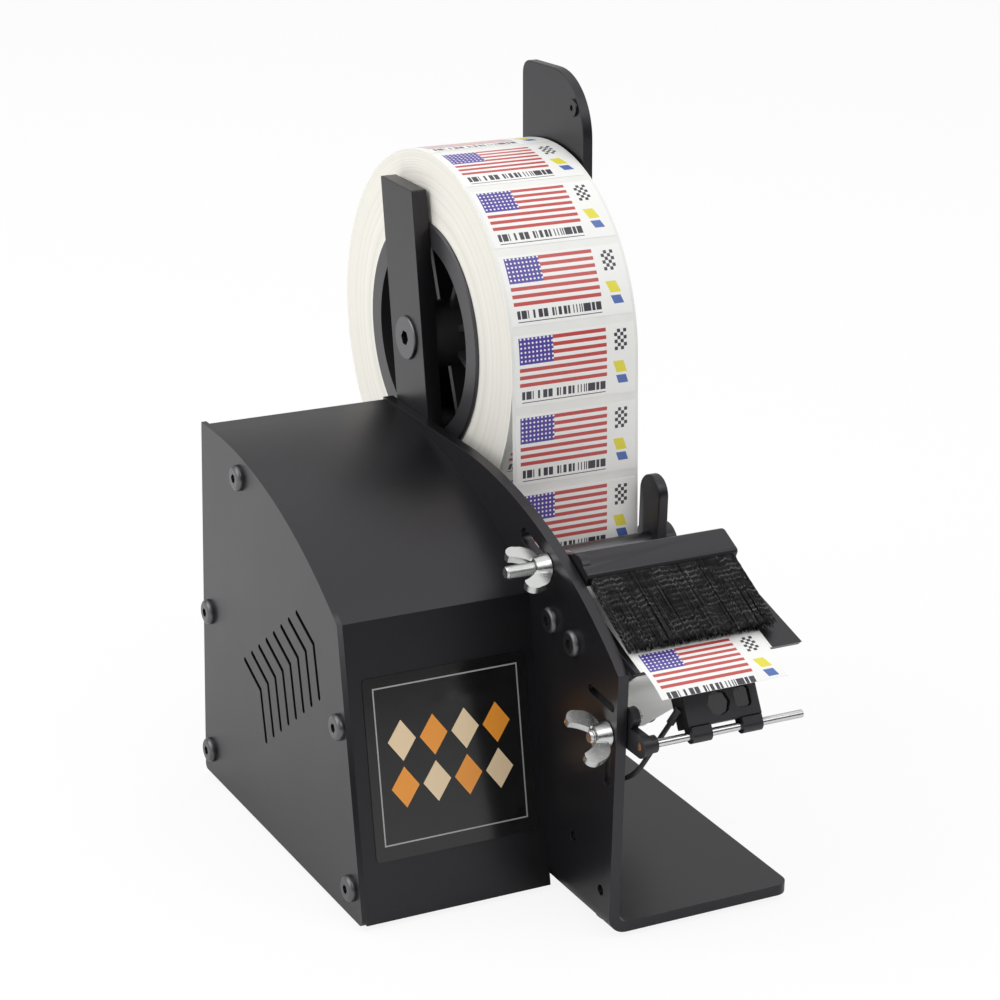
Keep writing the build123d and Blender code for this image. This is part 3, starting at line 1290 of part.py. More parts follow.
liner_angle = tangent_angle(nose_low, (DRIVE_Y, DRIVE_H), DRIVE_R + NIP_GAP, -1)
liner_start = at_angle(nose_low, NOSE_GAP, 180 + DECK_SLOPE)
liner_end = at_angle((DRIVE_Y, DRIVE_H), DRIVE_R + NIP_GAP, liner_angle - 90)
tail_h = DRIVE_H - DRIVE_R - NIP_GAP - PAPER_T
with BuildPart() as liner:
    with BuildSketch(side_plane(LINER_X)):
        with Locations((DRIVE_Y, DRIVE_H)):
            Circle(DRIVE_R + NIP_GAP + PAPER_T)
            Circle(DRIVE_R + NIP_GAP, mode=Mode.SUBTRACT)
            Polygon(
                (0, 0),
                at_angle((0, 0), 3 * DRIVE_R, liner_angle - 90),
                (0, -3 * DRIVE_R),
                align=None,
                mode=Mode.INTERSECT,
            )
        Polygon(
            liner_start,
            liner_end,
            at_angle(liner_end, PAPER_T, liner_angle - 90),
            at_angle(liner_start, PAPER_T, liner_angle - 90),
            align=None,
        )
    extrude(amount=LABEL_W)
save(liner.part, "liner_return")

with BuildPart() as liner_tail:
    with BuildSketch(side_plane(LINER_X)):
        with BuildLine() as droop:
            level_run = Line((DRIVE_Y, tail_h), (TAIL_LEVEL_Y, tail_h))
            TangentArc(level_run @ 1, TAIL_END, tangent=level_run % 1)
            offset(droop.wires()[0], amount=PAPER_T, side=Side.LEFT, closed=True)
        make_face()
    extrude(amount=LABEL_W)
save(liner_tail.part, "liner_tail")

with BuildPart() as label:
    with BuildSketch(side_plane(LINER_X + (LABEL_W - LABEL_FACE_W) / 2)):
        with BuildLine() as bend:
            start = at_angle(nose, PAPER_T, DECK_SLOPE + 90)
            tip = (LABEL_TIP_Y, LABEL_TIP_H)
            low_tip = at_angle(tip, PAPER_T, DECK_SLOPE + 90)
            curve = TangentArc(start, low_tip, tangent=(-cos(radians(DECK_SLOPE)), -sin(radians(DECK_SLOPE))))
            upper = offset(curve, amount=-PAPER_T, side=Side.LEFT, closed=True)
        make_face()
    extrude(amount=LABEL_FACE_W)
save(label.part, "peeled_label")


# Sensor lead and the socket it plugs into
lead_path_points = [(x, FRONT_Y + y, FOOT_H + h) for x, y, h in LEAD_POINTS]
with BuildPart() as lead:
    with BuildLine() as lead_path:
        FilletPolyline(*lead_path_points, radius=LEAD_BEND_R)
    lead_wire = lead_path.wires()[0]
    with BuildSketch(Plane(origin=lead_wire @ 0, z_dir=lead_wire % 0)):
        Circle(LEAD_R)
    sweep(path=lead_wire)
save(lead.part, "sensor_lead")
print("sensor lead bend radii", [LEAD_BEND_R], "length", round(lead_wire.length, 1))

with BuildPart() as socket:
    with BuildSketch(front_plane(LEAD_SOCKET_Y)):
        with Locations((LEAD_X, LEAD_H)):
            Rectangle(2 * (LEAD_X - PLATE_T), LEAD_SOCKET_H)
    extrude(amount=-LEAD_SOCKET_L)
    fillet(socket.edges().filter_by(Axis.Y).group_by(Axis.X)[-1], LEAD_SOCKET_ROUND)
    with BuildSketch(front_plane(LEAD_SOCKET_Y)):
        with Locations((LEAD_X, LEAD_H)):
            Circle(LEAD_R + RUN_FIT)
    extrude(amount=LEAD_SOCKET_WALL - LEAD_SOCKET_L, mode=Mode.SUBTRACT)
save(socket.part, "lead_socket")
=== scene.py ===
"""Looks of the label dispenser: finishes of the machine, the printed labels, the brush tuft and the stage."""

import json
import math

import bmesh
import bpy
from mathutils import Matrix, Vector

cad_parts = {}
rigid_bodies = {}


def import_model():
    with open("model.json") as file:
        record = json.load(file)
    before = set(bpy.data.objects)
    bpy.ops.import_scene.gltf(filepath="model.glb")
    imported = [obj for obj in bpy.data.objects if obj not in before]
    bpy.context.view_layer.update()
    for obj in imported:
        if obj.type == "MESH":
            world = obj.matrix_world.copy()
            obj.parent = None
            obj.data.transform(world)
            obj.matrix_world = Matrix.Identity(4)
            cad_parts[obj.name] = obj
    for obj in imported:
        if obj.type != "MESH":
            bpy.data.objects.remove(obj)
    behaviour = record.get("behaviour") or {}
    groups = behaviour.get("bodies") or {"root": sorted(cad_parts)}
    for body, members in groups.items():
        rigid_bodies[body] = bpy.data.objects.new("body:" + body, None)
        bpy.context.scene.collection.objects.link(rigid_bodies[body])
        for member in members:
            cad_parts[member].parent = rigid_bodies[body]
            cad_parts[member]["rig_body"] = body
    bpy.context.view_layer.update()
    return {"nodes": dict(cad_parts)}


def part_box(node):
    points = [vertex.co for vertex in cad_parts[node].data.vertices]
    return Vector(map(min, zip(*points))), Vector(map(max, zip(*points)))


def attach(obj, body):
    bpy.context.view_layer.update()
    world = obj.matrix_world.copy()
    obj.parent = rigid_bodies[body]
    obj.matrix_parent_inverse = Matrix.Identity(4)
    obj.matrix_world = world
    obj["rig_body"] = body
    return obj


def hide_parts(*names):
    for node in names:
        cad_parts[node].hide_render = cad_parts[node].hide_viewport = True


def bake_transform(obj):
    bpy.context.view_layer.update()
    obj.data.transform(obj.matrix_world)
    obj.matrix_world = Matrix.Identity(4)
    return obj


bl_info = {
    "name": "Label dispenser looks",
    "version": (1, 0, 0),
    "blender": (4, 5, 0),
    "location": "3D View > Sidebar > Dispenser",
    "description": "Finishes, labels, brush and stage for the label dispenser",
    "category": "Object",
}

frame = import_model()
NODES = frame["nodes"]

MM = 0.001
ROLL_LOW, ROLL_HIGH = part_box("label_roll")
PLATE_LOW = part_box("main_plate")[0]
ROLL_CENTRE = ((ROLL_LOW.y + ROLL_HIGH.y) / 2, (ROLL_LOW.z + ROLL_HIGH.z) / 2)


def flat_point(y, h):
    """Side-view point in metres from the plate's own measures in millimetres."""
    return Vector((PLATE_LOW.y + y * MM, PLATE_LOW.z + h * MM))


def polar(centre, radius, angle):
    """Side-view point at a radius and an angle in degrees above the back direction."""
    turn = math.radians(angle)
    return Vector(centre) + radius * Vector((math.cos(turn), math.sin(turn)))


# Measures shared with the solids, in the plate's own side view
PAPER = 0.3 * MM
NOSE_Y = -4.3
DECK_BACK_Y = 51.0
DECK_TURN = 14.6
NOSE = flat_point(NOSE_Y, 97.8)
DECK_BACK = NOSE + Vector((1, math.tan(math.radians(DECK_TURN)))) * (DECK_BACK_Y - NOSE_Y) * MM
LABEL_TIP = flat_point(-16.5, 92.6)
ROD = flat_point(90.0, 100.0)
ROD_RUN = 5.1 * MM
CORE_OUTER_R = 41.1 * MM
ROLL_R = (ROLL_HIGH.z - ROLL_LOW.z) / 2
WEB_LEFT = ROLL_LOW.x
WEB_RIGHT = ROLL_HIGH.x
WEB_DRIFT = WEB_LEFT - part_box("label_web_deck")[0].x
WEB_SPAN = Vector(ROLL_CENTRE) - ROD
WEB_CLIMB = math.degrees(
    math.atan2(WEB_SPAN.y, WEB_SPAN.x) + math.asin((ROLL_R + ROD_RUN) / WEB_SPAN.length)
)
ROLL_LAP = PAPER * 0.95
PEEL_LIFT = PAPER * 0.6
BAR_FRONT = flat_point(29.5, 119.5)
BAR_HALF_T = 3.0 * MM
BAR_TILT = 25.3
BRISTLE_L = 31.5 * MM
BRISTLE_TURN = 180.0 + 27.4
BRISTLE_WAVE = 2.1 * MM
TUFT_T = 3.2 * MM
TUFT_SET_IN = 0.4 * MM
THREAD_R = 2.4 * MM
THREAD_PITCH = 0.8 * MM
THREAD_RIDGE = 0.3 * MM
THREAD_ROOM = 0.02 * MM
STUD_HEAD_T = 2.0 * MM


# Settings that a user would change
class FinishSettings(bpy.types.PropertyGroup):
    coat_colour: bpy.props.FloatVectorProperty(
        name="Coat colour", description="Colour of the powder coat", subtype="COLOR", size=4,
        default=(0.0048, 0.0043, 0.0052, 1.0), min=0.0, max=1.0,
    )
    coat_roughness: bpy.props.FloatProperty(
        name="Coat roughness", description="How dull the powder coat is", default=0.33, min=0.0, max=1.0,
        subtype="FACTOR",
    )
    grain_depth: bpy.props.FloatProperty(
        name="Coat grain", description="Height of the coat's fine texture", default=0.00003, unit="LENGTH",
    )
    edge_round: bpy.props.FloatProperty(
        name="Edge rounding", description="Radius left on cut sheet edges", default=0.0004, unit="LENGTH",
    )
    paper_colour: bpy.props.FloatVectorProperty(
        name="Paper colour", description="Colour of the blank labels", subtype="COLOR", size=4,
        default=(0.88, 0.88, 0.86, 1.0), min=0.0, max=1.0,
    )
    liner_colour: bpy.props.FloatVectorProperty(
        name="Liner colour", description="Colour of the backing paper", subtype="COLOR", size=4,
        default=(0.87, 0.87, 0.845, 1.0), min=0.0, max=1.0,
    )
    accent_colour: bpy.props.FloatVectorProperty(
        name="Front film accent", description="Warm colour of the front film", subtype="COLOR", size=4,
        default=(0.83, 0.31, 0.035, 1.0), min=0.0, max=1.0,
    )


class LabelSettings(bpy.types.PropertyGroup):
    pitch: bpy.props.FloatProperty(
        name="Pitch", description="Distance from one label to the next", default=0.0286, unit="LENGTH",
    )
    length: bpy.props.FloatProperty(
        name="Label length", description="Length of a label along the web", default=0.0254, unit="LENGTH",
    )
    side_margin: bpy.props.FloatProperty(
        name="Side margin", description="Bare liner beside a label", default=0.0012, unit="LENGTH",
    )
    label_thickness: bpy.props.FloatProperty(
        name="Label thickness", description="Thickness of one label", default=0.00012, unit="LENGTH",
    )
    deck_phase: bpy.props.FloatProperty(
        name="Deck phase", description="Where the labels stand at the nose", default=0.0177, unit="LENGTH",
    )
    roll_phase: bpy.props.FloatProperty(
        name="Roll phase", description="Where the labels stand where the web leaves the roll", default=0.0139,
        unit="LENGTH",
    )


class BrushSettings(bpy.types.PropertyGroup):
    columns: bpy.props.IntProperty(name="Columns", description="Bristles across the bar", default=112, min=2)
    layers: bpy.props.IntProperty(name="Layers", description="Bristles through the tuft", default=7, min=1)
    thickness: bpy.props.FloatProperty(
        name="Bristle radius", description="Radius of one bristle", default=0.00019, unit="LENGTH",
    )
    wave: bpy.props.FloatProperty(
        name="Crimp", description="Sideways swing of the crimped bristles", default=0.00035, unit="LENGTH",
    )
    seed: bpy.props.IntProperty(name="Seed", description="Seed of the bristles' small differences", default=7)


class StageSettings(bpy.types.PropertyGroup):
    lens: bpy.props.FloatProperty(name="Lens", description="Focal length in millimetres", default=104.02)
    place: bpy.props.FloatVectorProperty(
        name="Camera place", description="Camera's place", default=(-0.444144, -0.856797, 0.477),
        unit="LENGTH",
    )
    round_angle: bpy.props.FloatProperty(
        name="Round", description="Camera's heading", default=math.radians(28.1), subtype="ANGLE",
    )
    down_angle: bpy.props.FloatProperty(
        name="Down", description="Camera's tilt below level", default=math.radians(20.17), subtype="ANGLE",
    )
    roll_angle: bpy.props.FloatProperty(
        name="Roll", description="Camera's roll", default=math.radians(1.377), subtype="ANGLE",
    )
    light: bpy.props.FloatProperty(
        name="Light", description="Strength of the soft light", default=1.0, min=0.0
    )


# Small helpers for node trees
def add(tree, kind, inputs=None, **settings):
    """Add a node; inputs may be sockets to link or plain values."""
    node = tree.nodes.new(kind)
    for key, value in settings.items():
        setattr(node, key, value)
    for key, value in (inputs or {}).items():
        if isinstance(value, bpy.types.NodeSocket):
            tree.links.new(value, node.inputs[key])
        else:
            node.inputs[key].default_value = value
    return node


def calc(tree, operation, first, second=0.0):
    """One math node's output."""
    return add(tree, "ShaderNodeMath", {0: first, 1: second}, operation=operation).outputs[0]


def within(tree, value, low, high):
    """1 where the value lies between low and high."""
    above = calc(tree, "GREATER_THAN", value, low)
    below = calc(tree, "LESS_THAN", value, high)
    return calc(tree, "MULTIPLY", above, below)


def blend_colour(tree, factor, first, second):
    """Colour mixed from two colours, which may be sockets or values."""
    return add(tree, "ShaderNodeMix", {0: factor, 6: first, 7: second}, data_type="RGBA").outputs[2]


def spread(tree, value, low, high, start=0.0, end=1.0):
    """A value between start and end, carried over to the range from low to high."""
    given = {"Value": value, "From Min": start, "From Max": end, "To Min": low, "To Max": high}
    return add(tree, "ShaderNodeMapRange", given).outputs[0]


def new_group(name, inputs, outputs, kind="ShaderNodeTree"):
    """An empty node group with named sockets; returns it with its input and its output sockets."""
    tree = bpy.data.node_groups.new(name, kind)
    for label, value_kind, value in inputs:
        socket = tree.interface.new_socket(label, in_out="INPUT", socket_type="NodeSocket" + value_kind)
        if value is not None:
            socket.default_value = value
    for label, value_kind in outputs:
        tree.interface.new_socket(label, in_out="OUTPUT", socket_type="NodeSocket" + value_kind)
    return tree, tree.nodes.new("NodeGroupInput").outputs, tree.nodes.new("NodeGroupOutput").inputs


def noise(tree, place, scale, detail=3.0, roughness=0.55):
    """Fine noise value at a place."""
    given = {"Vector": place, "Scale": scale, "Detail": detail, "Roughness": roughness}
    return add(tree, "ShaderNodeTexNoise", given).outputs["Fac"]


def make_coat_group():
    """Powder coat: fine grain and soft mottling."""
    tree, given, made = new_group(
        "powder_coat",
        [
            ("Place", "Vector", None),
            ("Colour", "Color", (0.03, 0.03, 0.03, 1.0)),
            ("Roughness", "Float", 0.45),
            ("Grain", "Float", 1.0),
        ],
        [("Colour", "Color"), ("Roughness", "Float"), ("Height", "Float")],
    )
    grain = noise(tree, given["Place"], 1500.0, 2.0, 0.6)
    mottle = noise(tree, given["Place"], 22.0, 4.0, 0.6)
    pale = blend_colour(tree, 0.02, given["Colour"], (0.16, 0.16, 0.17, 1.0))
    tree.links.new(blend_colour(tree, spread(tree, mottle, 0.0, 0.5), given["Colour"], pale), made["Colour"])
    swing = calc(tree, "MULTIPLY", calc(tree, "SUBTRACT", mottle, 0.5), 0.10)
    tree.links.new(calc(tree, "ADD", given["Roughness"], swing), made["Roughness"])
    tree.links.new(calc(tree, "MULTIPLY", grain, given["Grain"]), made["Height"])
    return tree


def make_grain_group():
    """Turned or ground metal: fine lines across an axis, with brighter and duller bands."""
    tree, given, made = new_group(
        "metal_grain",
        [
            ("Place", "Vector", None),
            ("Colour", "Color", (0.6, 0.6, 0.62, 1.0)),
            ("Roughness", "Float", 0.3),
            ("Stretch", "Vector", (1.0, 1.0, 1.0)),
        ],
        [("Colour", "Color"), ("Roughness", "Float"), ("Height", "Float")],
    )
    factors = {0: given["Place"], 1: given["Stretch"]}
    stretched = add(tree, "ShaderNodeVectorMath", factors, operation="MULTIPLY").outputs[0]
    lines = noise(tree, stretched, 1000.0, 3.0, 0.6)
    stains = noise(tree, given["Place"], 160.0, 3.0, 0.6)
    duller = blend_colour(tree, 0.45, given["Colour"], (0.12, 0.12, 0.12, 1.0))
    stained = blend_colour(tree, spread(tree, stains, 0.0, 0.3), given["Colour"], duller)
    tree.links.new(stained, made["Colour"])
    swing = calc(tree, "MULTIPLY", calc(tree, "SUBTRACT", lines, 0.5), 0.15)
    tree.links.new(calc(tree, "ADD", given["Roughness"], swing), made["Roughness"])
    tree.links.new(lines, made["Height"])
    return tree


def make_print_group(pitch):
    """Print of one label: a striped field with a dotted corner, a row of bars and a column of small shapes.

    Along is counted in label pitches up the web, Across in millimetres from the web's left edge.
    """
    tree, given, made = new_group(
        "label_print",
        [
            ("Along", "Float", 0.0),
            ("Across", "Float", 0.0),
            ("Paper", "Color", (0.9, 0.9, 0.88, 1.0)),
            ("Red", "Color", (0.53, 0.075, 0.070, 1.0)),
            ("Blue", "Color", (0.085, 0.055, 0.33, 1.0)),
            ("Black", "Color", (0.05, 0.045, 0.06, 1.0)),
            ("Yellow", "Color", (0.78, 0.70, 0.06, 1.0)),
            ("Sky", "Color", (0.09, 0.16, 0.44, 1.0)),
        ],
        [("Colour", "Color"), ("Ink", "Float")],
    )
    across = given["Across"]
    along = calc(tree, "MULTIPLY", calc(tree, "FRACT", given["Along"]), pitch / MM)

    def block(left, right, low, high, place=across):
        """1 inside an upright rectangle of the label, in millimetres."""
        return calc(tree, "MULTIPLY", within(tree, place, left, right), within(tree, along, low, high))

    # Striped field
    field_low, field_high, field_left, field_right = 8.6, 26.0, 3.0, 38.0
    stripe_pairs = 6.5
    field = block(field_left, field_right, field_low, field_high)
    rise = spread(tree, along, 0.0, stripe_pairs, field_low, field_high)
    stripe = calc(tree, "LESS_THAN", calc(tree, "FRACT", rise), 0.5)
    red = calc(tree, "MULTIPLY", field, stripe)
    colour = blend_colour(tree, red, given["Paper"], given["Red"])
    # Dotted corner
    corner_right, corner_low = 16.6, 16.6
    corner = block(field_left, corner_right, corner_low, field_high)
    colour = blend_colour(tree, corner, colour, given["Blue"])
    dot_step = 1.55
    dot_area = 0.06
    dot_x = calc(tree, "SUBTRACT", calc(tree, "FRACT", calc(tree, "DIVIDE", across, dot_step)), 0.5)
    dot_y = calc(tree, "SUBTRACT", calc(tree, "FRACT", calc(tree, "DIVIDE", along, dot_step)), 0.5)
    reach = calc(tree, "ADD", calc(tree, "MULTIPLY", dot_x, dot_x), calc(tree, "MULTIPLY", dot_y, dot_y))
    dots = calc(tree, "MULTIPLY", calc(tree, "LESS_THAN", reach, dot_area), corner)
    colour = blend_colour(tree, dots, colour, given["Paper"])
    # Row of upright bars of uneven width, and a thin rule under it
    bar_step, bar_left, bar_right = 0.42, 3.8, 37.4
    cell = calc(tree, "FLOOR", calc(tree, "DIVIDE", across, bar_step))
    chance = add(tree, "ShaderNodeTexWhiteNoise", {"W": cell}, noise_dimensions="1D").outputs["Value"]
    filled = calc(tree, "GREATER_THAN", chance, 0.36)
    bars = calc(tree, "MULTIPLY", filled, block(bar_left, bar_right, 4.0, 6.9))
    rule = block(bar_left, bar_right, 2.8, 3.1)
    marks = calc(tree, "MAXIMUM", bars, rule)
    colour = blend_colour(tree, marks, colour, given["Black"])
    # Column at the right: a dark chequer over a yellow and a blue slanted block
    square = 1.25
    cells = [calc(tree, "FLOOR", calc(tree, "DIVIDE", place, square)) for place in (across, along)]
    number = calc(tree, "MULTIPLY", calc(tree, "ADD", *cells), 0.5)
    chequer = calc(tree, "GREATER_THAN", calc(tree, "FRACT", number), 0.25)
    patch = block(41.25, 46.25, 17.5, 25.0)
    colour = blend_colour(tree, calc(tree, "MULTIPLY", patch, chequer), colour, given["Black"])
    lean, lean_start = 0.35, -3.0
    slant = calc(tree, "ADD", calc(tree, "MULTIPLY", along, lean), calc(tree, "ADD", across, lean_start))
    colour = blend_colour(tree, block(42.2, 46.4, 9.4, 13.6, slant), colour, given["Yellow"])
    colour = blend_colour(tree, block(41.6, 45.6, 5.4, 8.4, slant), colour, given["Sky"])
    tree.links.new(colour, made["Colour"])
    tree.links.new(calc(tree, "MAXIMUM", red, marks), made["Ink"])
    return tree


def make_layer_group():
    """Wound paper seen from the side: many thin rings about the roll's axis."""
    tree, given, made = new_group(
        "paper_layers",
        [
            ("Place", "Vector", None),
            ("Paper", "Color", (0.9, 0.9, 0.88, 1.0)),
            ("Shade", "Color", (0.6, 0.57, 0.5, 1.0)),
            ("Contrast", "Float", 0.3),
        ],
        [("Colour", "Color"), ("Height", "Float")],
    )
    parts = add(tree, "ShaderNodeSeparateXYZ", {0: given["Place"]}).outputs
    dy = calc(tree, "SUBTRACT", parts[1], ROLL_CENTRE[0])
    dz = calc(tree, "SUBTRACT", parts[2], ROLL_CENTRE[1])
    squares = calc(tree, "ADD", calc(tree, "MULTIPLY", dy, dy), calc(tree, "MULTIPLY", dz, dz))
    radius = calc(tree, "SQRT", squares)

    def rings_at(scale, detail):
        """Noise that changes only with the radius."""
        given_noise = {"W": radius, "Scale": scale, "Detail": detail}
        return add(tree, "ShaderNodeTexNoise", given_noise, noise_dimensions="1D").outputs["Fac"]

    fine = rings_at(2600.0, 3.0)
    rings = calc(tree, "MULTIPLY", fine, rings_at(320.0, 2.0))
    amount = calc(tree, "MULTIPLY", spread(tree, rings, 0.0, 1.0, 0.16, 0.42), given["Contrast"])
    tree.links.new(blend_colour(tree, amount, given["Paper"], given["Shade"]), made["Colour"])
    tree.links.new(fine, made["Height"])
    return tree


def new_material(name):
    """A material with a Principled shader; returns it with its tree, shader and object coordinates."""
    material = bpy.data.materials.new(name)
    material.use_nodes = True
    tree = material.node_tree
    shader = tree.nodes["Principled BSDF"]
    place = tree.nodes.new("ShaderNodeTexCoord").outputs["Object"]
    return material, tree, shader, place


def bump(tree, shader, height, distance, strength=1.0):
    """Feed a height to the shader's normal."""
    made = add(tree, "ShaderNodeBump", {"Height": height, "Distance": distance, "Strength": strength})
    tree.links.new(made.outputs["Normal"], shader.inputs["Normal"])


def use_group(tree, group, inputs):
    """Place a node group in a material."""
    return add(tree, "ShaderNodeGroup", inputs, node_tree=group).outputs


def grouped_material(name, group, distance, **inputs):
    """A material whose colour, roughness and relief come from a shared node group."""
    material, tree, shader, place = new_material(name)
    made = use_group(tree, GROUPS[group], {"Place": place, **inputs})
    tree.links.new(made["Colour"], shader.inputs["Base Color"])
    if "Roughness" in made:
        tree.links.new(made["Roughness"], shader.inputs["Roughness"])
    bump(tree, shader, made["Height"], distance)
    return material, shader


def coat_material(name, colour, roughness, grain, distance):
    """Powder-coated sheet or moulded plastic with a fine grain."""
    given = {"Colour": colour, "Roughness": roughness, "Grain": grain}
    material, shader = grouped_material(name, "coat", distance, **given)
    shader.inputs["Specular Tint"].default_value = (0.97, 0.94, 1.0, 1.0)
    return material


def metal_material(name, colour, roughness, stretch, distance=0.00002):
    """Bare, plated or blackened metal."""
    given = {"Colour": colour, "Roughness": roughness, "Stretch": stretch}
    material, shader = grouped_material(name, "grain", distance, **given)
    shader.inputs["Metallic"].default_value = 1.0
    return material


def paper_material(name, colour, printed):
    """Label paper; the printed one reads its own map: u in label pitches, v in millimetres across."""
    material, tree, shader, place = new_material(name)
    if printed:
        web_map = add(tree, "ShaderNodeUVMap", uv_map="web").outputs[0]
        parts = add(tree, "ShaderNodeSeparateXYZ", {0: web_map}).outputs
        made = use_group(tree, GROUPS["print"], {"Along": parts[0], "Across": parts[1], "Paper": colour})
        tree.links.new(made["Colour"], shader.inputs["Base Color"])
        tree.links.new(spread(tree, made["Ink"], 0.38, 0.28), shader.inputs["Roughness"])
    else:
        cloud = noise(tree, place, 120.0, 4.0)
        darker = tuple(c * 0.9 for c in colour[:3]) + (1.0,)
        tree.links.new(blend_colour(tree, cloud, colour, darker), shader.inputs["Base Color"])
        shader.inputs["Roughness"].default_value = 0.4
    bump(tree, shader, noise(tree, place, 1800.0, 2.0), 0.00001)
    return material


def layered_material(name, paper, shade, contrast):
    """Side of the wound roll."""
    given = {"Paper": paper, "Shade": shade, "Contrast": contrast}
    material, shader = grouped_material(name, "layers", 0.00006, **given)
    shader.inputs["Roughness"].default_value = 0.75
    return material


def film_material(accent):
    """Glossy black film on the front, with two rows of diamonds in a thin frame and no words."""
    material, tree, shader, place = new_material("front_film")
    low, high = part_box("front_decal")
    parts = add(tree, "ShaderNodeSeparateXYZ", {0: place}).outputs
    wide = spread(tree, parts[0], 0.0, (high.x - low.x) / MM, low.x, high.x)
    tall = spread(tree, parts[2], 0.0, (high.z - low.z) / MM, low.z, high.z)

    def tile(value, first, size):
        """Distance from the middle of a repeated tile, in tiles, and the tile's number."""
        count = calc(tree, "DIVIDE", calc(tree, "SUBTRACT", value, first), size)
        middle = calc(tree, "SUBTRACT", calc(tree, "FRACT", count), 0.5)
        return calc(tree, "ABSOLUTE", middle), calc(tree, "FLOOR", count)

    def panel(left, right, foot, head):
        """1 inside an upright rectangle of the film, in millimetres."""
        return calc(tree, "MULTIPLY", within(tree, wide, left, right), within(tree, tall, foot, head))

    cream = (0.80, 0.62, 0.40, 1.0)
    grey = (0.35, 0.35, 0.35, 1.0)
    cloud = noise(tree, place, 60.0, 3.0)
    ground = blend_colour(tree, cloud, (0.003, 0.003, 0.003, 1.0), (0.006, 0.006, 0.006, 1.0))
    # Two rows of four upright diamonds, in turn warm and cream
    diamond_w, diamond_h = 12.0, 16.0
    first_x, first_y = 7.0, 16.0
    diamond_reach = 0.44
    across, across_number = tile(wide, first_x, diamond_w)
    upward, upward_number = tile(tall, first_y, diamond_h)
    inside = calc(tree, "LESS_THAN", calc(tree, "ADD", across, upward), diamond_reach)
    band = panel(first_x, first_x + 4 * diamond_w, first_y, first_y + 2 * diamond_h)
    number = calc(tree, "ADD", across_number, upward_number)
    odd = calc(tree, "GREATER_THAN", calc(tree, "FRACT", calc(tree, "MULTIPLY", number, 0.5)), 0.25)
    diamonds = calc(tree, "MULTIPLY", inside, band)
    colour = blend_colour(tree, diamonds, ground, blend_colour(tree, odd, accent, cream))
    # Thin frame round the film
    frame_line = calc(tree, "SUBTRACT", panel(3.5, 58.5, 5.0, 59.0), panel(4.0, 58.0, 5.5, 58.5))
    colour = blend_colour(tree, frame_line, colour, grey)
    tree.links.new(colour, shader.inputs["Base Color"])
    shader.inputs["Roughness"].default_value = 0.16
    shader.inputs["Coat Weight"].default_value = 0.1
    shader.inputs["Coat Roughness"].default_value = 0.08
    bump(tree, shader, noise(tree, place, 45.0, 2.0), 0.00004)
    return material


def bristle_material():
    """Black crimped nylon, with painted highlights: paler flecks in rows across the tuft where the crimp
    would face the light.
    """
    material, tree, shader, place = new_material("bristle_nylon")
    lie = math.radians(BRISTLE_TURN)
    along = {0: place, 1: (0.0, math.cos(lie), math.sin(lie))}
    depth = add(tree, "ShaderNodeVectorMath", along, operation="DOT_PRODUCT").outputs["Value"]
    flattened = {0: place, 1: (1.0, 0.08, 0.08)}
    across = add(tree, "ShaderNodeVectorMath", flattened, operation="MULTIPLY").outputs[0]
    shift = calc(tree, "MULTIPLY", noise(tree, across, 420.0, 3.0), 9.0)
    turns = calc(tree, "ADD", calc(tree, "MULTIPLY", depth, 2 * math.pi / BRISTLE_WAVE), shift)
    wave = calc(tree, "SINE", turns)
    patches = spread(tree, noise(tree, place, 190.0, 3.0), 0.0, 1.0, 0.42, 0.62)
    # Painted highlight: the base colour turns pale grey on the crimp's crests, in random patches, standing in
    # for glints of light on the bristles.
    painted_highlight = calc(tree, "MULTIPLY", spread(tree, wave, 0.0, 1.0, 0.45, 1.0), patches)
    tint = blend_colour(tree, painted_highlight, (0.006, 0.006, 0.007, 1.0), (0.20, 0.195, 0.205, 1.0))
    tree.links.new(tint, shader.inputs["Base Color"])
    shader.inputs["Roughness"].default_value = 0.34
    bump(tree, shader, wave, 0.0002)
    return material


def board_material():
    """Green circuit board with pale tracks."""
    material, tree, shader, place = new_material("circuit_board")
    cells = add(tree, "ShaderNodeTexVoronoi", {"Vector": place, "Scale": 260.0}, distance="MANHATTAN")
    tracks = within(tree, cells.outputs["Distance"], 0.30, 0.36)
    tint = blend_colour(tree, tracks, (0.02, 0.16, 0.06, 1.0), (0.10, 0.38, 0.16, 1.0))
    tree.links.new(tint, shader.inputs["Base Color"])
    shader.inputs["Roughness"].default_value = 0.35
    return material


def lens_material():
    """Dark red-black window of the sensor."""
    material, tree, shader, place = new_material("dark_lens")
    cloud = noise(tree, place, 240.0, 2.0)
    tint = blend_colour(tree, cloud, (0.006, 0.005, 0.006, 1.0), (0.018, 0.009, 0.011, 1.0))
    tree.links.new(tint, shader.inputs["Base Color"])
    shader.inputs["Roughness"].default_value = 0.06
    shader.inputs["Coat Weight"].default_value = 0.8
    return material


GROUPS = {}
MATERIALS = {}


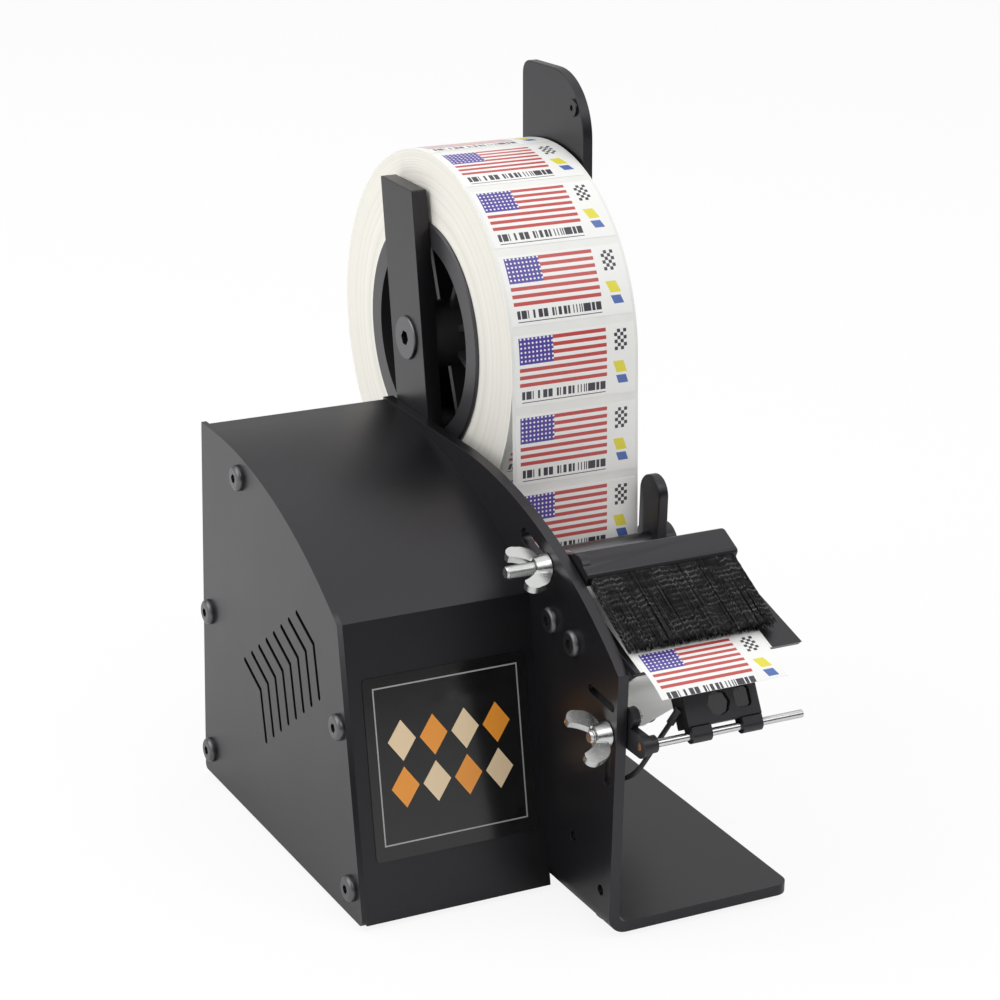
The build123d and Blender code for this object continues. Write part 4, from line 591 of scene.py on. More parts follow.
def build_materials(finish, labels):
    """Make the shared node groups, then every material."""
    GROUPS["coat"] = make_coat_group()
    GROUPS["grain"] = make_grain_group()
    GROUPS["print"] = make_print_group(labels.pitch)
    GROUPS["layers"] = make_layer_group()
    coat = tuple(finish.coat_colour)
    paper = tuple(finish.paper_colour)
    liner = tuple(finish.liner_colour)
    MATERIALS.update(
        coat=coat_material("black_powder_coat", coat, finish.coat_roughness, 1.0, finish.grain_depth),
        plastic=coat_material("black_moulded", (0.012, 0.012, 0.013, 1.0), 0.40, 0.6, 0.00003),
        hub=coat_material("hub_moulded", (0.030, 0.029, 0.031, 1.0), 0.34, 0.4, 0.00002),
        rubber=coat_material("ground_rubber", (0.022, 0.021, 0.021, 1.0), 0.72, 1.4, 0.00008),
        lead=coat_material("lead_jacket", (0.012, 0.012, 0.012, 1.0), 0.40, 0.3, 0.00002),
        oxide=metal_material("black_oxide", (0.13, 0.127, 0.133, 1.0), 0.36, (1.0, 1.0, 1.0)),
        zinc=metal_material("bright_zinc", (0.60, 0.61, 0.60, 1.0), 0.25, (0.6, 1.0, 1.0)),
        steel=metal_material("ground_steel", (0.62, 0.62, 0.63, 1.0), 0.16, (1.0, 0.15, 0.15), 0.000008),
        brass=metal_material("turned_brass", (0.62, 0.42, 0.16, 1.0), 0.26, (1.0, 0.2, 0.2)),
        print=paper_material("printed_label", paper, True),
        paper=paper_material("blank_label", paper, False),
        liner=paper_material("liner_paper", liner, False),
        layers=layered_material("wound_paper", (0.82, 0.80, 0.74, 1.0), (0.50, 0.46, 0.38, 1.0), 0.30),
        card=layered_material("wound_card", (0.46, 0.34, 0.22, 1.0), (0.22, 0.15, 0.09, 1.0), 0.55),
        film=film_material(tuple(finish.accent_colour)),
        bristle=bristle_material(),
        board=board_material(),
        lens=lens_material(),
    )


# Helpers that make and place pieces
def link_object(name, data):
    """Put an object that holds this data in the scene."""
    made = bpy.data.objects.new(name, data)
    bpy.context.scene.collection.objects.link(made)
    return made


def smooth(mesh, angle=30.0):
    """Shade a mesh smooth, with the edges sharper than an angle in degrees kept crisp."""
    mesh.shade_smooth()
    mesh.set_sharp_from_angle(angle=math.radians(angle))


def dress(material, *names):
    """Give CAD nodes a material."""
    for name in names:
        mesh = NODES[name].data
        mesh.materials.clear()
        mesh.materials.append(MATERIALS[material])


def new_piece(name, mesh, body, replaced=()):
    """Put a finished mesh in the scene on its body."""
    piece = link_object(name, mesh)
    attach(piece, body)
    if replaced:
        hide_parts(*replaced)
    return piece


def merged(node, material):
    """Copy of a node's mesh with its triangles joined, its flat faces whole and its material set."""
    mesh = NODES[node].data.copy()
    mesh.name = node + "_soft"
    shape = bmesh.new()
    shape.from_mesh(mesh)
    bmesh.ops.remove_doubles(shape, verts=shape.verts, dist=2e-6)
    bmesh.ops.dissolve_limit(
        shape, angle_limit=math.radians(0.5), verts=shape.verts, edges=shape.edges, delimit={"NORMAL"}
    )
    shape.to_mesh(mesh)
    shape.free()
    mesh.materials.clear()
    mesh.materials.append(MATERIALS[material])
    smooth(mesh, 32.0)
    return mesh


def rounded(node, width, material):
    """Stand-in for a sheet-metal node: the same shape with its cut edges rounded."""
    mesh = merged(node, material)
    piece = new_piece(node + "_soft", mesh, NODES[node]["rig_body"], (node,))
    edge = piece.modifiers.new("edge_round", "BEVEL")
    edge.width = width
    edge.segments = 2
    edge.limit_method = "ANGLE"
    edge.angle_limit = math.radians(50)
    edge.harden_normals = True
    edge.use_clamp_overlap = True
    return piece


# The web's side-view path, counted in metres up from the nose
def turn_between(start, end):
    """Angle of the line from start to end, in degrees."""
    run = end - start
    return math.degrees(math.atan2(run.y, run.x))


class WebPath:
    """Straight runs and arcs that give the web's underside, its direction and its distance from the start."""

    def __init__(self, start):
        self.points = [Vector(start)]
        self.lengths = [0.0]

    def line_to(self, end, steps=1):
        """Go on straight to a point, in equal steps."""
        start = self.points[-1].copy()
        for step in range(1, steps + 1):
            self.push(start.lerp(Vector(end), step / steps))

    def arc(self, centre, radius, from_angle, to_angle, steps):
        """Go on round a centre from one angle to another, in equal steps."""
        for step in range(1, steps + 1):
            self.push(polar(centre, radius, from_angle + (to_angle - from_angle) * step / steps))

    def push(self, point):
        """Add one point and its distance from the start."""
        self.lengths.append(self.lengths[-1] + (point - self.points[-1]).length)
        self.points.append(point)

    def at(self, distance):
        """Point and upward normal at a distance along the path."""
        last = len(self.points) - 1
        index = 1
        while index < last and self.lengths[index] < distance:
            index += 1
        span = self.lengths[index] - self.lengths[index - 1]
        share = (distance - self.lengths[index - 1]) / span
        point = self.points[index - 1].lerp(self.points[index], share)
        return point, self.normal(index, share)

    def normal(self, index, share):
        """Normal that turns smoothly from one run to the next."""
        def run_normal(number):
            number = min(max(number, 1), len(self.points) - 1)
            run = (self.points[number] - self.points[number - 1]).normalized()
            return Vector((-run.y, run.x))
        here = run_normal(index)
        other = run_normal(index + 1) if share > 0.5 else run_normal(index - 1)
        if here.dot(other) < 0.9:
            return here
        return here.lerp(other, abs(share - 0.5)).normalized()

    def cuts(self, low, high):
        """Distances of the path's own corners between two distances, with both ends."""
        inner = [length for length in self.lengths if low + 1e-6 < length < high - 1e-6]
        return [low] + inner + [high]


def web_plate(shape, uv, path, low, high, left, right, base, top, phase, pitch, materials, side=1.0):
    """Add a closed plate that follows the path from low to high, between two heights above it."""
    stations = path.cuts(low, high)
    rows = []
    for distance in stations:
        point, normal = path.at(distance)
        normal = normal * side
        corners = []
        for height in (base, top):
            place = point + normal * height
            for x in (left, right):
                corners.append(shape.verts.new((x, place.x, place.y)))
        rows.append(corners)
    width = (right - left) / MM
    for index in range(len(rows) - 1):
        first, second = rows[index], rows[index + 1]
        u = [(stations[index] + phase) / pitch, (stations[index + 1] + phase) / pitch]
        faces = (
            ((first[2], first[3], second[3], second[2]), materials[0], True),
            ((first[1], first[0], second[0], second[1]), materials[1], False),
            ((first[0], first[2], second[2], second[0]), materials[1], False),
            ((first[3], first[1], second[1], second[3]), materials[1], False),
        )
        for corners, material, mapped in faces:
            face = shape.faces.new(corners)
            face.material_index = material
            if mapped:
                edge = (left - WEB_LEFT) / MM
                spots = ((u[0], edge), (u[0], edge + width), (u[1], edge + width), (u[1], edge))
                for loop, spot in zip(face.loops, spots):
                    loop[uv].uv = spot
    for row, order in ((rows[0], (0, 1, 3, 2)), (rows[-1], (1, 0, 2, 3))):
        face = shape.faces.new([row[i] for i in order])
        face.material_index = materials[1]


def finish_mesh(shape, name, materials):
    """Turn a bmesh into a mesh with outward faces and its materials."""
    bmesh.ops.recalc_face_normals(shape, faces=shape.faces)
    mesh = bpy.data.meshes.new(name)
    shape.to_mesh(mesh)
    shape.free()
    for material in materials:
        mesh.materials.append(MATERIALS[material])
    return mesh


def ring_of_points(shape, x, centre, radius, sides, start=0.0):
    """Points of a shape on a circle about an axis along X."""
    spots = [polar(centre, radius, start - 360.0 * k / sides) for k in range(sides)]
    return [shape.verts.new((x, *spot)) for spot in spots]


def join_rings(shape, near, far, material=0):
    """Faces between two rings of points."""
    for k in range(len(near)):
        n = (k + 1) % len(near)
        shape.faces.new((near[k], near[n], far[n], far[k])).material_index = material


def closed_rod(shape, rings):
    """A closed solid through rings of points along X."""
    for near, far in zip(rings, rings[1:]):
        join_rings(shape, near, far)
    shape.faces.new(rings[0])
    shape.faces.new(list(reversed(rings[-1])))


def label_spans(low, high, phase, settings):
    """Start and end of each label between two distances, cut off at those ends."""
    margin = (settings.pitch - settings.length) / 2
    number = math.floor((low + phase) / settings.pitch) - 1
    spans = []
    while number * settings.pitch - phase < high:
        start = number * settings.pitch - phase + margin
        first, last = max(start, low), min(start + settings.length, high)
        if last - first > 0.0005:
            spans.append((first, last))
        number += 1
    return spans


def drifted(mesh):
    """Move the web sideways, more and more from the guide rod to the nose."""
    for point in mesh.vertices:
        share = (ROD.x - point.co.y) / (ROD.x - NOSE.x)
        point.co.x -= WEB_DRIFT * min(max(share, 0.0), 1.0)


def build_web(name, replaced, path, phase, settings, labelled=None, side_step=False):
    """Liner with its labels on it, along a whole path."""
    low, high = 0.0, path.lengths[-1]
    shape = bmesh.new()
    uv = shape.loops.layers.uv.new("web")
    liner_top = PAPER - settings.label_thickness
    web_plate(shape, uv, path, low, high, WEB_LEFT, WEB_RIGHT, 0.0, liner_top, phase, settings.pitch, (1, 1))
    for first, last in label_spans(*(labelled or (low, high)), phase, settings):
        web_plate(
            shape, uv, path, first, last, WEB_LEFT + settings.side_margin, WEB_RIGHT - settings.side_margin,
            liner_top, PAPER, phase, settings.pitch, (0, 2),
        )
    mesh = finish_mesh(shape, name, ("print", "liner", "paper"))
    if side_step:
        drifted(mesh)
    return new_piece(name, mesh, "chassis", (replaced,))


def build_roll(settings):
    """The wound roll: printed outer turn, uneven layered sides, and a step where the last turn leaves."""
    shape = bmesh.new()
    uv = shape.loops.layers.uv.new("web")
    around = 300
    layers = 46
    leave = WEB_CLIMB + 90.0
    liner_r = ROLL_R - settings.label_thickness
    radii = [CORE_OUTER_R + (liner_r - CORE_OUTER_R) * i / layers for i in range(layers + 1)]
    rings = []
    for side, base in ((1, WEB_LEFT), (-1, WEB_RIGHT)):
        columns = []
        for index, radius in enumerate(radii):
            inward = 0.00013 * (0.5 + 0.5 * math.sin(index * 2.399 + (1.7 if side > 0 else 0.0)))
            edge = index in (0, layers)
            x = base + side * (0.0 if edge else inward)
            columns.append(ring_of_points(shape, x, ROLL_CENTRE, radius, around, leave))
        rings.append(columns)
    for columns in rings:
        for inner_ring, outer_ring in zip(columns, columns[1:]):
            join_rings(shape, inner_ring, outer_ring, 3)
    for level, material in ((0, 3), (layers, 1)):
        join_rings(shape, rings[0][level], rings[1][level], material)
    outer = WebPath(polar(ROLL_CENTRE, liner_r, leave))
    outer.arc(ROLL_CENTRE, liner_r, leave, leave - 358.0, around)
    phase = settings.roll_phase
    for first, last in label_spans(0.0, outer.lengths[-1] - settings.pitch, phase, settings):
        web_plate(
            shape, uv, outer, first, last, WEB_LEFT + settings.side_margin, WEB_RIGHT - settings.side_margin,
            0.0, settings.label_thickness, phase, settings.pitch, (0, 2),
        )
    mesh = finish_mesh(shape, "label_roll_wound", ("print", "liner", "paper", "layers"))
    smooth(mesh)
    return new_piece("label_roll_wound", mesh, "roll", ("label_roll",))


def build_label_path(settings):
    """The printed web from the roll over the guide rod and the deck to the nose, and the label that hangs off
    the nose.
    """
    deck = WebPath(NOSE)
    deck.line_to(DECK_BACK, 6)
    reach = ROD - DECK_BACK
    rise = math.degrees(math.atan2(reach.y, reach.x) - math.asin(ROD_RUN / reach.length))
    deck.line_to(polar(ROD, ROD_RUN + PAPER, rise - 90), 4)
    deck.arc(ROD, ROD_RUN + PAPER, rise - 90, WEB_CLIMB - 90, 24)
    build_web("web_over_deck", "label_web_deck", deck, settings.deck_phase, settings, (0.0, 0.09), True)
    upper = WebPath(polar(ROD, ROD_RUN + PAPER, WEB_CLIMB - 90))
    upper.line_to(polar(ROLL_CENTRE, ROLL_R - ROLL_LAP, WEB_CLIMB + 90), 8)
    phase = settings.roll_phase - upper.lengths[-1]
    build_web("web_from_roll", "label_web_upper", upper, phase, settings)

    start = polar(NOSE, PEEL_LIFT, DECK_TURN + 90)
    heading = math.radians(180 + DECK_TURN)
    forward = Vector((math.cos(heading), math.sin(heading)))
    chord = LABEL_TIP - start
    bend = forward.angle(chord)
    radius = chord.length / (2 * math.sin(bend))
    centre = start + Vector((-forward.y, forward.x)) * radius
    hanging = WebPath(start)
    begin = turn_between(centre, start)
    hanging.arc(centre, radius, begin, begin + math.degrees(2 * bend), 14)
    shape = bmesh.new()
    uv = shape.loops.layers.uv.new("web")
    web_plate(
        shape, uv, hanging, 0.0, hanging.lengths[-1], WEB_LEFT + settings.side_margin,
        WEB_RIGHT - settings.side_margin, 0.0, settings.label_thickness, 0.0, settings.pitch, (0, 2), -1.0,
    )
    for point in shape.verts:
        point.co.x -= WEB_DRIFT
    for face in shape.faces:
        for loop in face.loops:
            u, v = loop[uv].uv
            loop[uv].uv = (settings.deck_phase / settings.pitch - u, v)
    mesh = finish_mesh(shape, "peeling_label", ("print", "liner", "paper"))
    smooth(mesh)
    new_piece("peeling_label", mesh, "chassis", ("peeled_label",))


# Geometry node trees
def geometry_tree(name, inputs):
    """An empty geometry node tree with named inputs beside its geometry."""
    shape = ("Geometry", "Geometry")
    return new_group(name, [(*shape, None)] + inputs, [shape], "GeometryNodeTree")


def run_tree(name, base, tree, values):
    """Run a tree on a mesh with its inputs set by identifier, and return the plain mesh that it makes."""
    holder = link_object(name, base)
    modifier = holder.modifiers.new(name, "NODES")
    modifier.node_group = tree
    for item in tree.interface.items_tree:
        if item.in_out == "INPUT" and item.name in values:
            modifier[item.identifier] = values[item.name]
    holder.update_tag()
    graph = bpy.context.evaluated_depsgraph_get()
    mesh = bpy.data.meshes.new_from_object(holder.evaluated_get(graph), depsgraph=graph)
    holder.modifiers.remove(modifier)
    bpy.data.objects.remove(holder)
    mesh.name = name
    return mesh


def bristle_tree():
    """Rows of crimped bristles that hang from a grid of points."""
    tree, given, made = geometry_tree(
        "bristle_rows",
        [
            ("Width", "Float", 0.057), ("Depth", "Float", 0.004),
            ("Columns", "Int", 100), ("Layers", "Int", 6),
            ("Length", "Float", 0.033), ("Radius", "Float", 0.0002), ("Crimp", "Float", 0.0004),
            ("Wavelength", "Float", 0.0032), ("Seed", "Int", 1), ("Material", "Material", None),
        ],
    )
    grid = add(
        tree, "GeometryNodeMeshGrid",
        {
            "Size X": given["Width"], "Size Y": given["Depth"],
            "Vertices X": given["Columns"], "Vertices Y": given["Layers"],
        },
    )
    jitter = add(
        tree, "FunctionNodeRandomValue",
        {0: (-0.0002, -0.0003, 0.0), 1: (0.0002, 0.0003, 0.0), "Seed": given["Seed"]},
        data_type="FLOAT_VECTOR",
    ).outputs[0]
    roots = add(tree, "GeometryNodeSetPosition", {"Geometry": grid.outputs["Mesh"], "Offset": jitter})
    end = add(tree, "ShaderNodeCombineXYZ", {2: calc(tree, "MULTIPLY", given["Length"], -1.0)})
    line = add(tree, "GeometryNodeCurvePrimitiveLine", {"End": end.outputs[0]})
    points = add(tree, "GeometryNodeResampleCurve", {"Curve": line.outputs[0], "Count": 24})
    position = add(tree, "GeometryNodeInputPosition").outputs[0]
    along = add(tree, "ShaderNodeSeparateXYZ", {0: position}).outputs[2]
    turns = calc(tree, "MULTIPLY", calc(tree, "DIVIDE", along, given["Wavelength"]), 2 * math.pi)
    swing = calc(tree, "MULTIPLY", calc(tree, "SINE", turns), given["Crimp"])
    offset = add(tree, "ShaderNodeCombineXYZ", {0: calc(tree, "MULTIPLY", swing, 0.5), 1: swing})
    wavy = add(tree, "GeometryNodeSetPosition", {"Geometry": points.outputs[0], "Offset": offset.outputs[0]})
    profile = add(tree, "GeometryNodeCurvePrimitiveCircle", {"Resolution": 3, "Radius": given["Radius"]})
    hair = add(
        tree, "GeometryNodeCurveToMesh",
        {"Curve": wavy.outputs[0], "Profile Curve": profile.outputs[0], "Fill Caps": True},
    )
    lean = add(
        tree, "FunctionNodeRandomValue",
        {0: (-0.014, -0.022, -0.12), 1: (0.014, 0.022, 0.12), "Seed": calc(tree, "ADD", given["Seed"], 3.0)},
        data_type="FLOAT_VECTOR",
    )
    size = add(
        tree, "FunctionNodeRandomValue",
        {0: (1.0, 1.0, 0.95), 1: (1.0, 1.0, 1.0), "Seed": calc(tree, "ADD", given["Seed"], 5.0)},
        data_type="FLOAT_VECTOR",
    )
    placed = add(
        tree, "GeometryNodeInstanceOnPoints",
        {
            "Points": roots.outputs[0], "Instance": hair.outputs[0],
            "Rotation": lean.outputs[0], "Scale": size.outputs[0],
        },
    )
    solid = add(tree, "GeometryNodeRealizeInstances", {0: placed.outputs[0]})
    finished = {"Geometry": solid.outputs[0], "Material": given["Material"]}
    coloured = add(tree, "GeometryNodeSetMaterial", finished)
    tree.links.new(coloured.outputs[0], made[0])
    return tree


def thread_tree():
    """Thread ridges repeated along a stud, joined to the stud's own mesh."""
    tree, given, made = geometry_tree(
        "thread_ridges",
        [
            ("Start", "Vector", (0.0, 0.0, 0.0)), ("Pitch", "Float", 0.0008), ("Count", "Int", 10),
            ("Radius", "Float", 0.0022), ("Ridge", "Float", 0.0003), ("Material", "Material", None),
        ],
    )
    step = add(tree, "ShaderNodeCombineXYZ", {0: given["Pitch"]})
    line = add(
        tree, "GeometryNodeMeshLine",
        {"Count": given["Count"], "Start Location": given["Start"], "Offset": step.outputs[0]},
    )
    circle = add(tree, "GeometryNodeCurvePrimitiveCircle", {"Resolution": 20, "Radius": given["Radius"]})
    profile = add(tree, "GeometryNodeCurvePrimitiveCircle", {"Resolution": 4, "Radius": given["Ridge"]})
    ridge = add(
        tree, "GeometryNodeCurveToMesh", {"Curve": circle.outputs[0], "Profile Curve": profile.outputs[0]}
    )
    placed = add(
        tree, "GeometryNodeInstanceOnPoints",
        {"Points": line.outputs[0], "Instance": ridge.outputs[0], "Rotation": (0.0, math.pi / 2, 0.0)},
    )
    joined = add(tree, "GeometryNodeJoinGeometry")
    solid = add(tree, "GeometryNodeRealizeInstances", {0: placed.outputs[0]})
    tree.links.new(solid.outputs[0], joined.inputs[0])
    tree.links.new(given["Geometry"], joined.inputs[0])
    finished = {"Geometry": joined.outputs[0], "Material": given["Material"]}
    coloured = add(tree, "GeometryNodeSetMaterial", finished)
    tree.links.new(coloured.outputs[0], made[0])
    return tree


def build_stud(tree, node):
    """Stand-in for a wing nut's stud, with thread ridges on the part that shows."""
    low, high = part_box(node)
    axis = ((low.y + high.y) / 2, (low.z + high.z) / 2)
    core_r = THREAD_R - THREAD_RIDGE - THREAD_ROOM
    head_start = high.x - STUD_HEAD_T
    shape = bmesh.new()
    core = ((low.x, core_r - 0.3 * MM), (low.x + 0.4 * MM, core_r), (head_start, core_r))
    closed_rod(shape, [ring_of_points(shape, x, axis, size, 24) for x, size in core])
    head = (head_start, high.x)
    closed_rod(shape, [ring_of_points(shape, x, axis, (high.y - low.y) / 2, 6) for x in head])
    base = finish_mesh(shape, node + "_core", ("zinc",))
    start = low.x + 0.7 * MM
    values = {
        "Start": (start, *axis), "Pitch": THREAD_PITCH, "Ridge": THREAD_RIDGE,
        "Count": int((head_start - 0.4 * MM - start) / THREAD_PITCH), "Radius": THREAD_R - THREAD_RIDGE,
        "Material": MATERIALS["zinc"],
    }
    mesh = run_tree(node + "_threaded", base, tree, values)
    new_piece(node + "_threaded", mesh, NODES[node]["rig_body"], (node,))


# Operators, one for each group of like pieces
class DISPENSER_OT_sheet_metal(bpy.types.Operator):
    """Coat the plates, covers and brackets, with rounded cut edges"""

    bl_idname = "dispenser.sheet_metal"
    bl_label = "Sheet metal"

    def execute(self, context):
        width = context.scene.dispenser_finish.edge_round
        for node, share in (
            ("main_plate", 1.0), ("side_panel", 0.8), ("roll_arm", 0.8), ("outer_roll_plate", 1.0),
            ("web_guide", 1.0), ("peel_deck", 0.5), ("brush_bar", 1.0),
        ):
            rounded(node, width * share, "coat")
        dress("coat", "housing_cover", "housing_floor", "outer_plate_collar")
        dress("film", "front_decal")
        return {"FINISHED"}


class DISPENSER_OT_hardware(bpy.types.Operator):
    """Finish the screws, studs, nuts, rods and the parts inside the housing"""

    bl_idname = "dispenser.hardware"
    bl_label = "Hardware"

    def execute(self, context):
        dress(
            "oxide", "side_panel_screws", "plate_tie_screws", "deck_screws", "arm_screws", "axle_bolt",
            "web_guide_screw", "collar_thumb_screw",
        )
        dress("coat", "outer_plate_rivet")
        dress("steel", "tie_bars", "motor_screws", "gear_motor", "board_standoffs", "roll_axle",
              "pinch_pivot_pin", "pinch_spring", "drive_shaft", "pinch_arm")
        dress("zinc", "upper_wing_nut", "lower_wing_nut", "bracket_screw")
        dress("oxide", "guide_rod")
        dress("brass", "shaft_bushing")
        dress("board", "control_board")
        dress("plastic", "power_switch_body", "power_rocker", "power_jack", "lead_socket")
        dress("rubber", "rubber_feet", "drive_rubber", "pinch_roller")
        tree = thread_tree()
        build_stud(tree, "brush_stud")
        build_stud(tree, "sensor_stud")
        return {"FINISHED"}


class DISPENSER_OT_roll(bpy.types.Operator):
    """Wind the label roll on its card core and black hub"""

    bl_idname = "dispenser.roll"
    bl_label = "Label roll"

    def execute(self, context):
        build_roll(context.scene.dispenser_labels)
        dress("card", "roll_core")
        dress("hub", "roll_hub")
        return {"FINISHED"}


class DISPENSER_OT_label_path(bpy.types.Operator):
    """Lay the printed web from the roll over the deck, and the bare liner back to the drive roller"""

    bl_idname = "dispenser.label_path"
    bl_label = "Label path"

    def execute(self, context):
        build_label_path(context.scene.dispenser_labels)
        dress("liner", "liner_return", "liner_tail")
        return {"FINISHED"}


class DISPENSER_OT_brush(bpy.types.Operator):
    """Fill the brush bar with crimped bristles"""

    bl_idname = "dispenser.brush"
    bl_label = "Brush"

    def execute(self, context):
        settings = context.scene.dispenser_brush
        low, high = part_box("brush_bristles")
        root = polar(BAR_FRONT, BAR_HALF_T, BAR_TILT - 90.0)
        values = {
            "Width": high.x - low.x - 2 * TUFT_SET_IN, "Depth": TUFT_T,
            "Columns": settings.columns, "Layers": settings.layers,
            "Length": BRISTLE_L, "Radius": settings.thickness, "Crimp": settings.wave,
            "Wavelength": 2 * BRISTLE_WAVE, "Seed": settings.seed, "Material": MATERIALS["bristle"],
        }
        mesh = run_tree("brush_tuft", bpy.data.meshes.new("empty"), bristle_tree(), values)
        turn = math.radians(BRISTLE_TURN)
        down = Vector((0.0, math.cos(turn), math.sin(turn)))
        up = -down
        across = up.cross(Vector((1.0, 0.0, 0.0)))
        place = Matrix((
            (1.0, across.x, up.x, (low.x + high.x) / 2),
            (0.0, across.y, up.y, root.x),
            (0.0, across.z, up.z, root.y),
            (0.0, 0.0, 0.0, 1.0),
        ))
        mesh.transform(place)
        new_piece("brush_tuft", mesh, "brush", ("brush_bristles",))
        return {"FINISHED"}


class DISPENSER_OT_sensor(bpy.types.Operator):
    """Finish the label sensor, its bracket, rod and lead"""

    bl_idname = "dispenser.sensor"
    bl_label = "Sensor"

    def execute(self, context):
        dress("plastic", "sensor_bracket", "sensor_body", "sensor_clips")
        dress("steel", "sensor_rod")
        dress("lens", "sensor_lenses")
        lead = merged("sensor_lead", "lead")
        piece = link_object("sensor_lead_soft", lead)
        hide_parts("sensor_lead")
        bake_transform(piece)
        return {"FINISHED"}


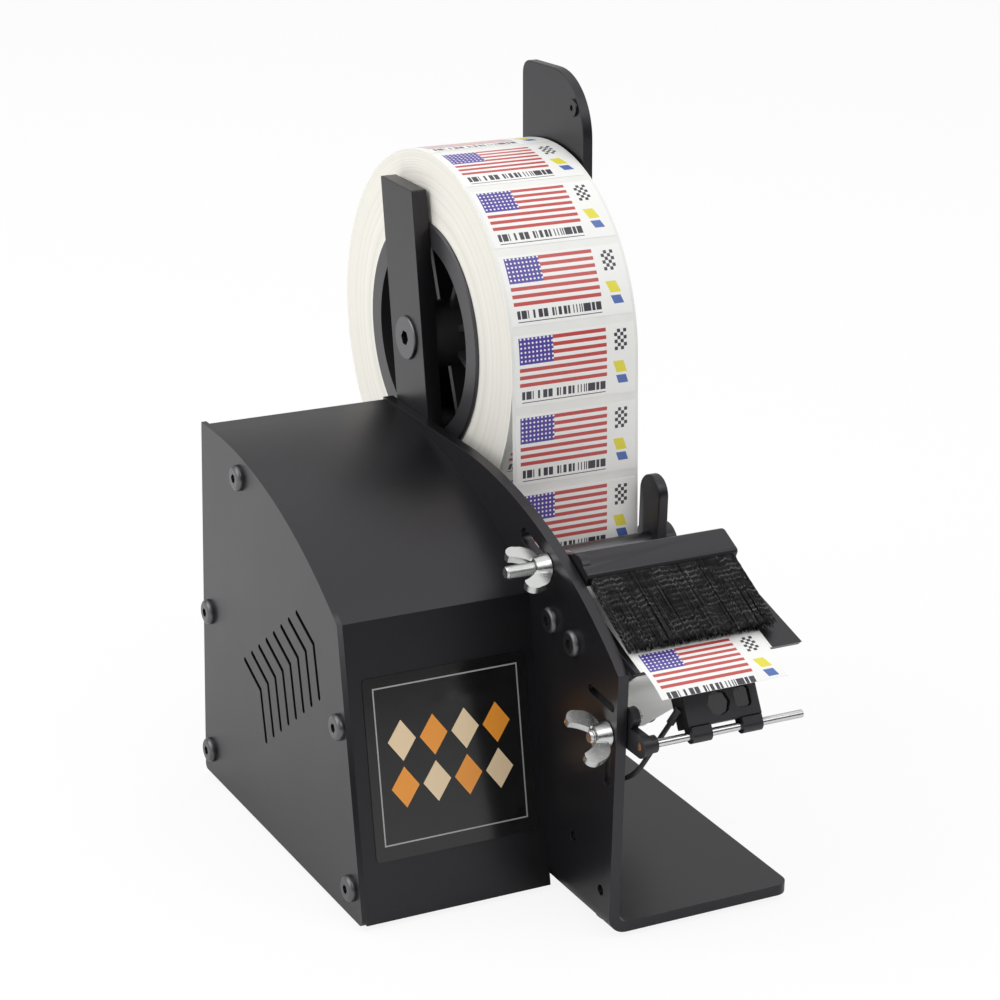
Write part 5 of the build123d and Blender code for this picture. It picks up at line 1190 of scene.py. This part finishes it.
class DISPENSER_OT_stage(bpy.types.Operator):
    """Set the pale floor, the soft lights and the camera"""

    bl_idname = "dispenser.stage"
    bl_label = "Stage"

    def execute(self, context):
        settings = context.scene.dispenser_stage
        scene = context.scene
        self.floor_piece()
        self.dark_card()
        self.world(scene, settings.light)
        self.soft_light("left_panel", (-1.25, 0.35, 0.95), (-0.25, 0.3, 0.0), 1.5, 14.0 * settings.light)
        self.soft_light("top_panel", (0.2, 0.3, 2.1), (0.0, 0.0, 0.1), 2.8, 13.0 * settings.light)
        self.soft_light("front_panel", (0.5, -1.2, 1.7), (0.0, 0.0, 0.12), 1.2, 10.0 * settings.light)
        camera = link_object("camera", bpy.data.cameras.new("camera"))
        camera.data.lens = settings.lens
        camera.data.sensor_width = 36.0
        camera.data.clip_end = 20.0
        camera.matrix_world = self.camera_matrix(settings)
        scene.camera = camera
        scene.view_settings.view_transform = "Standard"
        return {"FINISHED"}

    def camera_matrix(self, settings):
        """Camera's place and turn from its heading, tilt and roll."""
        round_angle, down_angle, roll_angle = settings.round_angle, settings.down_angle, settings.roll_angle
        ahead = Vector((
            math.sin(round_angle) * math.cos(down_angle), math.cos(round_angle) * math.cos(down_angle),
            -math.sin(down_angle),
        ))
        right = Vector((math.cos(round_angle), -math.sin(round_angle), 0.0))
        down = ahead.cross(right)
        rolled_right = right * math.cos(roll_angle) - down * math.sin(roll_angle)
        rolled_down = right * math.sin(roll_angle) + down * math.cos(roll_angle)
        turn = Matrix((rolled_right, -rolled_down, -ahead)).transposed()
        return Matrix.Translation(Vector(settings.place)) @ turn.to_4x4()

    def flat_piece(self, name, shade, place):
        """A flat dull sheet in one shade of grey; returns it with its material's tree and shader."""
        shape = bmesh.new()
        bmesh.ops.create_grid(shape, x_segments=1, y_segments=1, size=1.0)
        bmesh.ops.transform(shape, verts=shape.verts, matrix=place)
        mesh = bpy.data.meshes.new(name)
        shape.to_mesh(mesh)
        shape.free()
        material, tree, shader, _ = new_material(name)
        shader.inputs["Base Color"].default_value = (shade, shade, shade, 1.0)
        shader.inputs["Roughness"].default_value = 0.9
        mesh.materials.append(material)
        return link_object(name, mesh), tree, shader

    def floor_piece(self):
        """A wide level floor, seen white and still taking the object's shadow."""
        floor, tree, shader = self.flat_piece("floor", 0.90, Matrix.Scale(6.0, 4))
        shader.inputs["Specular IOR Level"].default_value = 0.1
        seen = add(tree, "ShaderNodeLightPath").outputs["Is Camera Ray"]
        glow = add(tree, "ShaderNodeEmission", {"Color": (1.0, 1.0, 1.0, 1.0), "Strength": 1.0})
        mixed = add(
            tree, "ShaderNodeMixShader",
            {0: calc(tree, "MULTIPLY", seen, 0.88), 1: shader.outputs[0], 2: glow.outputs[0]},
        )
        tree.links.new(mixed.outputs[0], tree.nodes["Material Output"].inputs["Surface"])
        return floor

    def dark_card(self):
        """Dark upright card behind the camera, which the black coat's front faces mirror."""
        upright = Matrix.Rotation(math.radians(90), 4, "X") @ Matrix.Diagonal((2.6, 0.55, 1.0, 1.0))
        card, _, _ = self.flat_piece("dark_card", 0.03, Matrix.Translation((0.9, -2.6, 0.55)) @ upright)
        card.visible_camera = False
        return card

    def world(self, scene, light):
        """Even pale surroundings: white to the camera and in reflections, softer as light."""
        world = bpy.data.worlds.new("studio")
        scene.world = world
        world.use_nodes = True
        tree = world.node_tree
        background = tree.nodes["Background"]
        background.inputs["Color"].default_value = (1.0, 1.0, 1.0, 1.0)
        path = add(tree, "ShaderNodeLightPath").outputs
        seen = calc(tree, "MAXIMUM", path["Is Camera Ray"], path["Is Transmission Ray"])
        mirrored = calc(tree, "MULTIPLY", path["Is Glossy Ray"], 0.15)
        seen = calc(tree, "MAXIMUM", seen, mirrored)
        tree.links.new(spread(tree, seen, 0.60 * light, 1.0), background.inputs["Strength"])

    def soft_light(self, name, place, target, size, power):
        """One square soft panel."""
        lamp = bpy.data.lights.new(name, "AREA")
        lamp.energy = power
        lamp.size = size
        light = link_object(name, lamp)
        light.location = place
        light.rotation_euler = (Vector(target) - Vector(place)).to_track_quat("-Z", "Y").to_euler()


class DISPENSER_PT_panel(bpy.types.Panel):
    """Lists the dispenser's settings and steps"""

    bl_idname = "DISPENSER_PT_panel"
    bl_label = "Label dispenser"
    bl_space_type = "VIEW_3D"
    bl_region_type = "UI"
    bl_category = "Dispenser"

    def draw(self, context):
        layout = self.layout
        for operator in OPERATORS:
            layout.operator(operator.bl_idname)
        for group in (
            context.scene.dispenser_finish, context.scene.dispenser_labels, context.scene.dispenser_brush,
            context.scene.dispenser_stage,
        ):
            box = layout.box()
            for name in group.__annotations__:
                box.prop(group, name)


OPERATORS = (
    DISPENSER_OT_sheet_metal, DISPENSER_OT_hardware, DISPENSER_OT_roll, DISPENSER_OT_label_path,
    DISPENSER_OT_brush, DISPENSER_OT_sensor, DISPENSER_OT_stage,
)
SETTINGS = {
    "dispenser_finish": FinishSettings, "dispenser_labels": LabelSettings, "dispenser_brush": BrushSettings,
    "dispenser_stage": StageSettings,
}


def register():
    for name, group in SETTINGS.items():
        bpy.utils.register_class(group)
        setattr(bpy.types.Scene, name, bpy.props.PointerProperty(type=group))
    for operator in OPERATORS:
        bpy.utils.register_class(operator)
    bpy.utils.register_class(DISPENSER_PT_panel)


def unregister():
    bpy.utils.unregister_class(DISPENSER_PT_panel)
    for operator in reversed(OPERATORS):
        bpy.utils.unregister_class(operator)
    for name, group in SETTINGS.items():
        delattr(bpy.types.Scene, name)
        bpy.utils.unregister_class(group)


def main():
    register()
    scene = bpy.context.scene
    build_materials(scene.dispenser_finish, scene.dispenser_labels)
    bpy.ops.dispenser.sheet_metal()
    bpy.ops.dispenser.hardware()
    bpy.ops.dispenser.roll()
    bpy.ops.dispenser.label_path()
    bpy.ops.dispenser.brush()
    bpy.ops.dispenser.sensor()
    bpy.ops.dispenser.stage()


if __name__ == "__main__":
    main()
